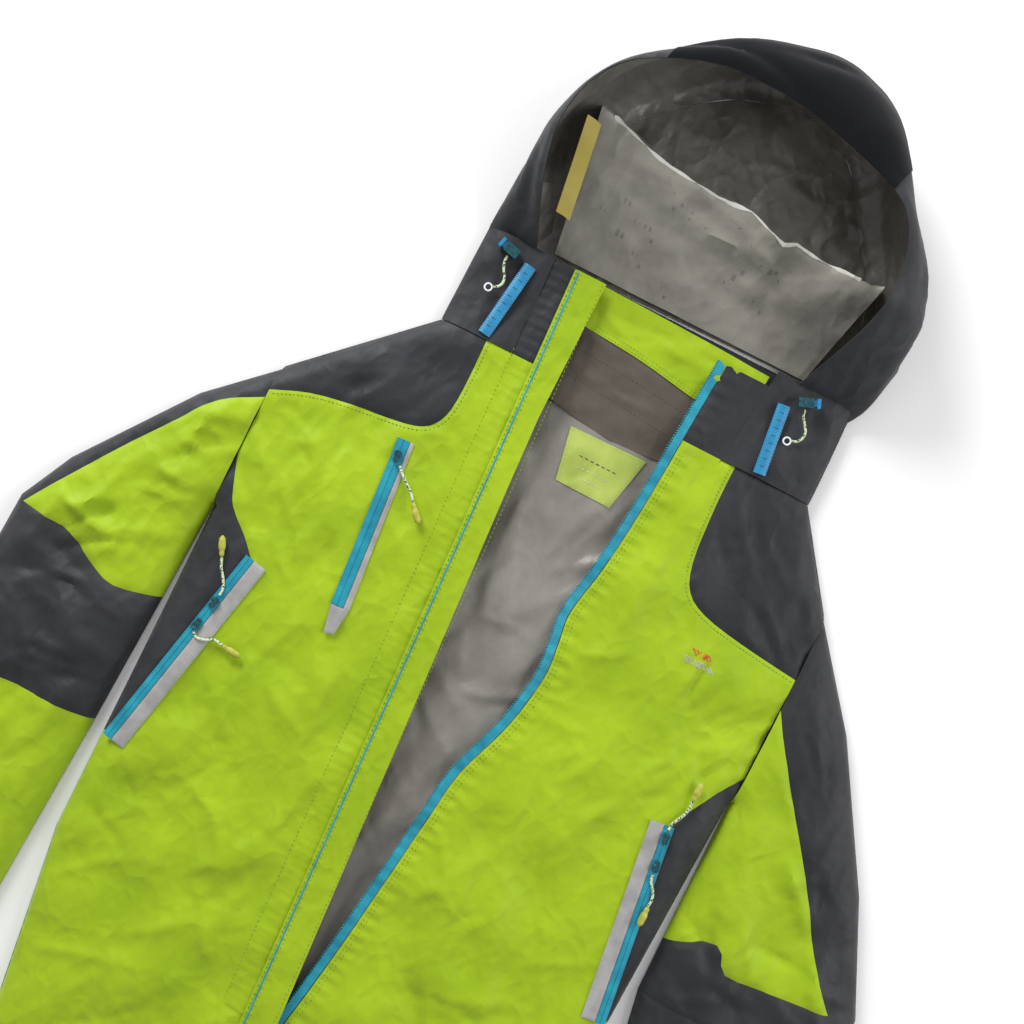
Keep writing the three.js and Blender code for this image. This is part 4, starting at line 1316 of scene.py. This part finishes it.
def ribbon_faces(rows):
    """Faces of a ribbon with three points across each row."""
    return [(3 * i + j, 3 * i + j + 3, 3 * i + j + 4, 3 * i + j + 1) for i in range(rows - 1) for j in (0, 1)]


def hood_bend(item):
    """Bakes the piece's placement into its mesh."""
    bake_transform(item)


# Painted shade: the hood's lining is coloured darker inside the deep hood than on the ledge.
shaded_hood_grey = nylon("hood_lining", (0.085, 0.080, 0.066), (0.19, 0.18, 0.155), 1.0, 0.34, 0.5, 0.6)
hood_cloth = hood_surface("hood_cloth", range(count), hood_rows, 0, charcoal, shaded_hood_grey, 1.4)
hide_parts("hood_shell")
hood_bend(hood_cloth)
floor_edge = [tuple(hood_point(i, -1)[:2]) for i in range(0, count, 3)]
floor_creases = creases(82, 40, ((-130, 150), (390, 560)), -12, 30, 50, 5, 3.5)


def hood_floor(p):
    return 2.0 + np.abs(folds(p, floor_creases)) * np.clip(distance(p, floor_edge, True) / 20, 0, 1)


hood_base = cloth("hood_floor_cloth", floor_edge[::-1], hood_floor, shaded_hood_grey, charcoal, 1.2, 4.5)
hood_bend(hood_base)

# The lining's spare cloth stands in one long ledge across the hood, and falls from there to the neck.
ledge_line = np.array(curve([
    (-140, 508), (-114, 505), (-62, 497), (-5, 492), (50, 484), (104, 481), (158, 480),
], 10))
ledge_creases = np.concatenate([
    creases(91, 46, ((-140, 160), (380, 490)), -8, 22, 62, 6.5, 6.0),
    creases(92, 34, ((-140, 160), (380, 480)), 70, 40, 34, 6.0, 4.2),
    np.array([
        [-10, 460, 1, -0.06, 90, 4, 7.0, -0.1], [60, 455, 0.97, -0.2, 70, 4, 5.0, 0.1],
        [-40, 430, 0.9, 0.4, 60, 5, 5.0, 0.1], [70, 425, 0.9, -0.3, 60, 5, 4.5, 0.0],
        [10, 410, 1, 0.05, 80, 5, 3.5, 0.1],
    ]),
])
ledge_profile = [
    (0.0, 0.16), (0.12, 0.2), (0.25, 0.3), (0.4, 0.42), (0.55, 0.58), (0.7, 0.72), (0.82, 0.86),
    (0.9, 0.95), (0.96, 1.0), (1.0, 1.0), (1.015, 0.93), (1.03, 0.75), (1.06, 0.5), (1.12, 0.2),
]
crest_rng = np.random.default_rng(93)
crest_places = np.sort(crest_rng.uniform(-150, 170, 17))
crest_shift = crest_rng.normal(0, 3.2, 17)
crest_rise = crest_rng.normal(0, 2.6, 17)
ledge_points = []
ledge_rows = []
for (x, y), following in zip(ledge_profile, ledge_profile[1:] + [None]):
    ledge_rows.append((x, y))
    if following:
        ledge_rows.append(((x + following[0]) / 2, (y + following[1]) / 2))
for (x, y) in ledge_line:
    sag = 1 - ((x - 9) / 150) ** 2
    y += float(np.interp(x, crest_places, crest_shift))
    crest = 60 - 16 * sag + float(np.interp(x, crest_places, crest_rise))
    low = hood_seam + 4
    squeeze = 0.97 - 0.1 * (1 - sag)
    for v, h in ledge_rows:
        narrowed = (x - 9) * (squeeze + (1 - squeeze) * v) + 9
        ledge_points.append((narrowed, low + (y - low) * v, crest * h))
ledge_points = np.array(ledge_points)
ledge_points[:, 2] += folds(ledge_points[:, :2], ledge_creases) * np.clip(ledge_points[:, 2] / 30, 0.3, 1)
ledge_points[:, 2] = np.maximum(ledge_points[:, 2], 4)
n = len(ledge_rows)
ledge_faces = [(a * n + b, (a + 1) * n + b, (a + 1) * n + b + 1, a * n + b + 1)
               for a in range(len(ledge_line) - 1) for b in range(n - 1)]
# Painted light: the ledge's top is the same lining coloured lighter, where it rises into the light.
lit_ledge_grey = nylon("ledge_lining", (0.15, 0.142, 0.12), (0.26, 0.25, 0.215), 0.6, 0.36, 0.5, 0.55)
ledge = two_sided("hood_lining_cloth", ledge_points, ledge_faces, 0.4, lit_ledge_grey, shaded_hood_grey)
hood_bend(ledge)

# The ledge's crest gets a painted highlight: a narrow pale ribbon of cloth on it, where the crest catches the
# light.
crest_highlight_paint = nylon("crest_highlight_paint", (0.34, 0.33, 0.29), (0.62, 0.61, 0.57), 0.8, 0.5, 0.5)
CREST_ROW = ledge_rows.index((1.0, 1.0))
HIGHLIGHT_HALF, HIGHLIGHT_LIFT = 2.4, 0.8
crest_line = [tuple(ledge_points[i * n + CREST_ROW]) for i in range(len(ledge_line))][6:-4]
highlight_points = []
for i, (x, y, z) in enumerate(crest_line):
    wide = HIGHLIGHT_HALF * (0.55 + 0.45 * math.sin(i * 0.9) * math.sin(i * 0.37 + 1))
    edge = z + HIGHLIGHT_LIFT - 0.5
    highlight_points += [(x, y - wide, edge), (x, y, z + HIGHLIGHT_LIFT), (x, y + wide, edge)]
crest_highlight_ribbon = two_sided("painted_crest_highlight", highlight_points, ribbon_faces(len(crest_line)), 0.35, crest_highlight_paint, crest_highlight_paint)
hood_bend(crest_highlight_ribbon)

# The brim is a doubled black panel over the top of the hood, stiffened and edge-stitched.
brim_black = nylon("black_brim", (0.0015, 0.0018, 0.003), (0.003, 0.0035, 0.005), 0.12, 0.75, 1.0, 0.08)
brim_first = min(range(count), key=lambda i: abs(rim_line[i][0] + 104) + 1000 * (rim_line[i][1] < 500))
brim_last = min(range(count), key=lambda i: abs(rim_line[i][0] - 122) + 1000 * (rim_line[i][1] < 500))
brim_rows = list(np.linspace(-0.05, 1, 22))
brim = hood_surface("brim_cloth", range(brim_first, brim_last + 1), brim_rows, 1.2, brim_black,
                    brim_black, 1.6)
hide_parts("hood_brim")
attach(brim, "hood")

# ---------------------------------------------------------------- hood adjusters
# On each collar side a blue webbing tunnel is stitched down like a ladder. The cord comes out of
# it through a small spring lock with a blue button. Inside the hood runs a yellow tape.
blue = coated_tape("blue_webbing", (0.006, 0.17, 0.36), (0.02, 0.27, 0.50))
blue_plastic = moulded("blue_plastic", 0.35, 300, 3, (0.01, 0.18, 0.38), (0.02, 0.25, 0.48))
adjusters = {"right": [(-135, 362), (-145, 287)], "left": [(131, 354), (139, 287)]}
for side, line in adjusters.items():
    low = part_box(f"{side}_adjuster_strip")[0].z / MM
    webbing = strip(f"{side}_adjuster_webbing", line, [
        (-6, 0), (-6, 0.9), (-4.8, 1.1), (-3.4, 1.9), (3.4, 1.9), (4.8, 1.1), (6, 0.9), (6, 0),
    ], flat_at(low), blue)
    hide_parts(f"{side}_adjuster_strip")
    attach(webbing, "torso")
    for row in (-5.2, 5.2):
        seam = stitches(f"{side}_adjuster_edge_{int(row + 6)}", off(line, row), flat_at(low + 0.9),
                        dark_thread, 1.8, 1.2, 0.5)
        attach(seam, "torso")
    a, b = (np.array(p, float) for p in line)
    d = (b - a) / np.linalg.norm(b - a)
    left = np.array([-d[1], d[0]])
    for k in range(1, 9):
        rung = a + (b - a) * k / 9
        bar = stitches(f"{side}_adjuster_rung_{k}", [tuple(rung - left * 3.4), tuple(rung + left * 3.4)],
                       flat_at(low + 1.85), dark_thread, 6.4, 0.2, 1.1)
        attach(bar, "torso")
    finish_solid(f"{side}_cord_lock", zinc)
    finish_solid(f"{side}_lock_button", blue_plastic)
yellow = nylon("yellow_tape", (0.28, 0.22, 0.03), (0.42, 0.34, 0.05), 0.2, 0.5)
TAPE_ROWS = 20
tape_points = []
for t in np.linspace(0, 1, TAPE_ROWS):
    x, y, z = -140 + 12 * t, 496 - 84 * t, 70 - 26 * t + 1.5 * math.sin(9 * t)
    tape_points += [(x - 7, y, z + 5), (x, y + 0.5, z), (x + 7, y, z - 5)]
hood_tape = two_sided("hood_yellow_tape", tape_points, ribbon_faces(TAPE_ROWS), 0.8, yellow, yellow)
hood_bend(hood_tape)

# ---------------------------------------------------------------- chest mark
# A small plain stitched mark on the wearer's left chest: two slanted bars, orange and grey.
orange_thread = thread_material("orange_thread", (0.72, 0.13, 0.02))
for k, (colour, size, y) in enumerate(((orange_thread, 11, 117), (pale_thread, 17, 108))):
    for row in range(6):
        bar_line = [(168 - size + row, y - row), (168 + size + row, y - row)]
        bar = stitches(f"chest_mark_{k}_{row}", bar_line, front_height, colour, 3.6, 0.2, 1.0)
        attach(bar, "torso")
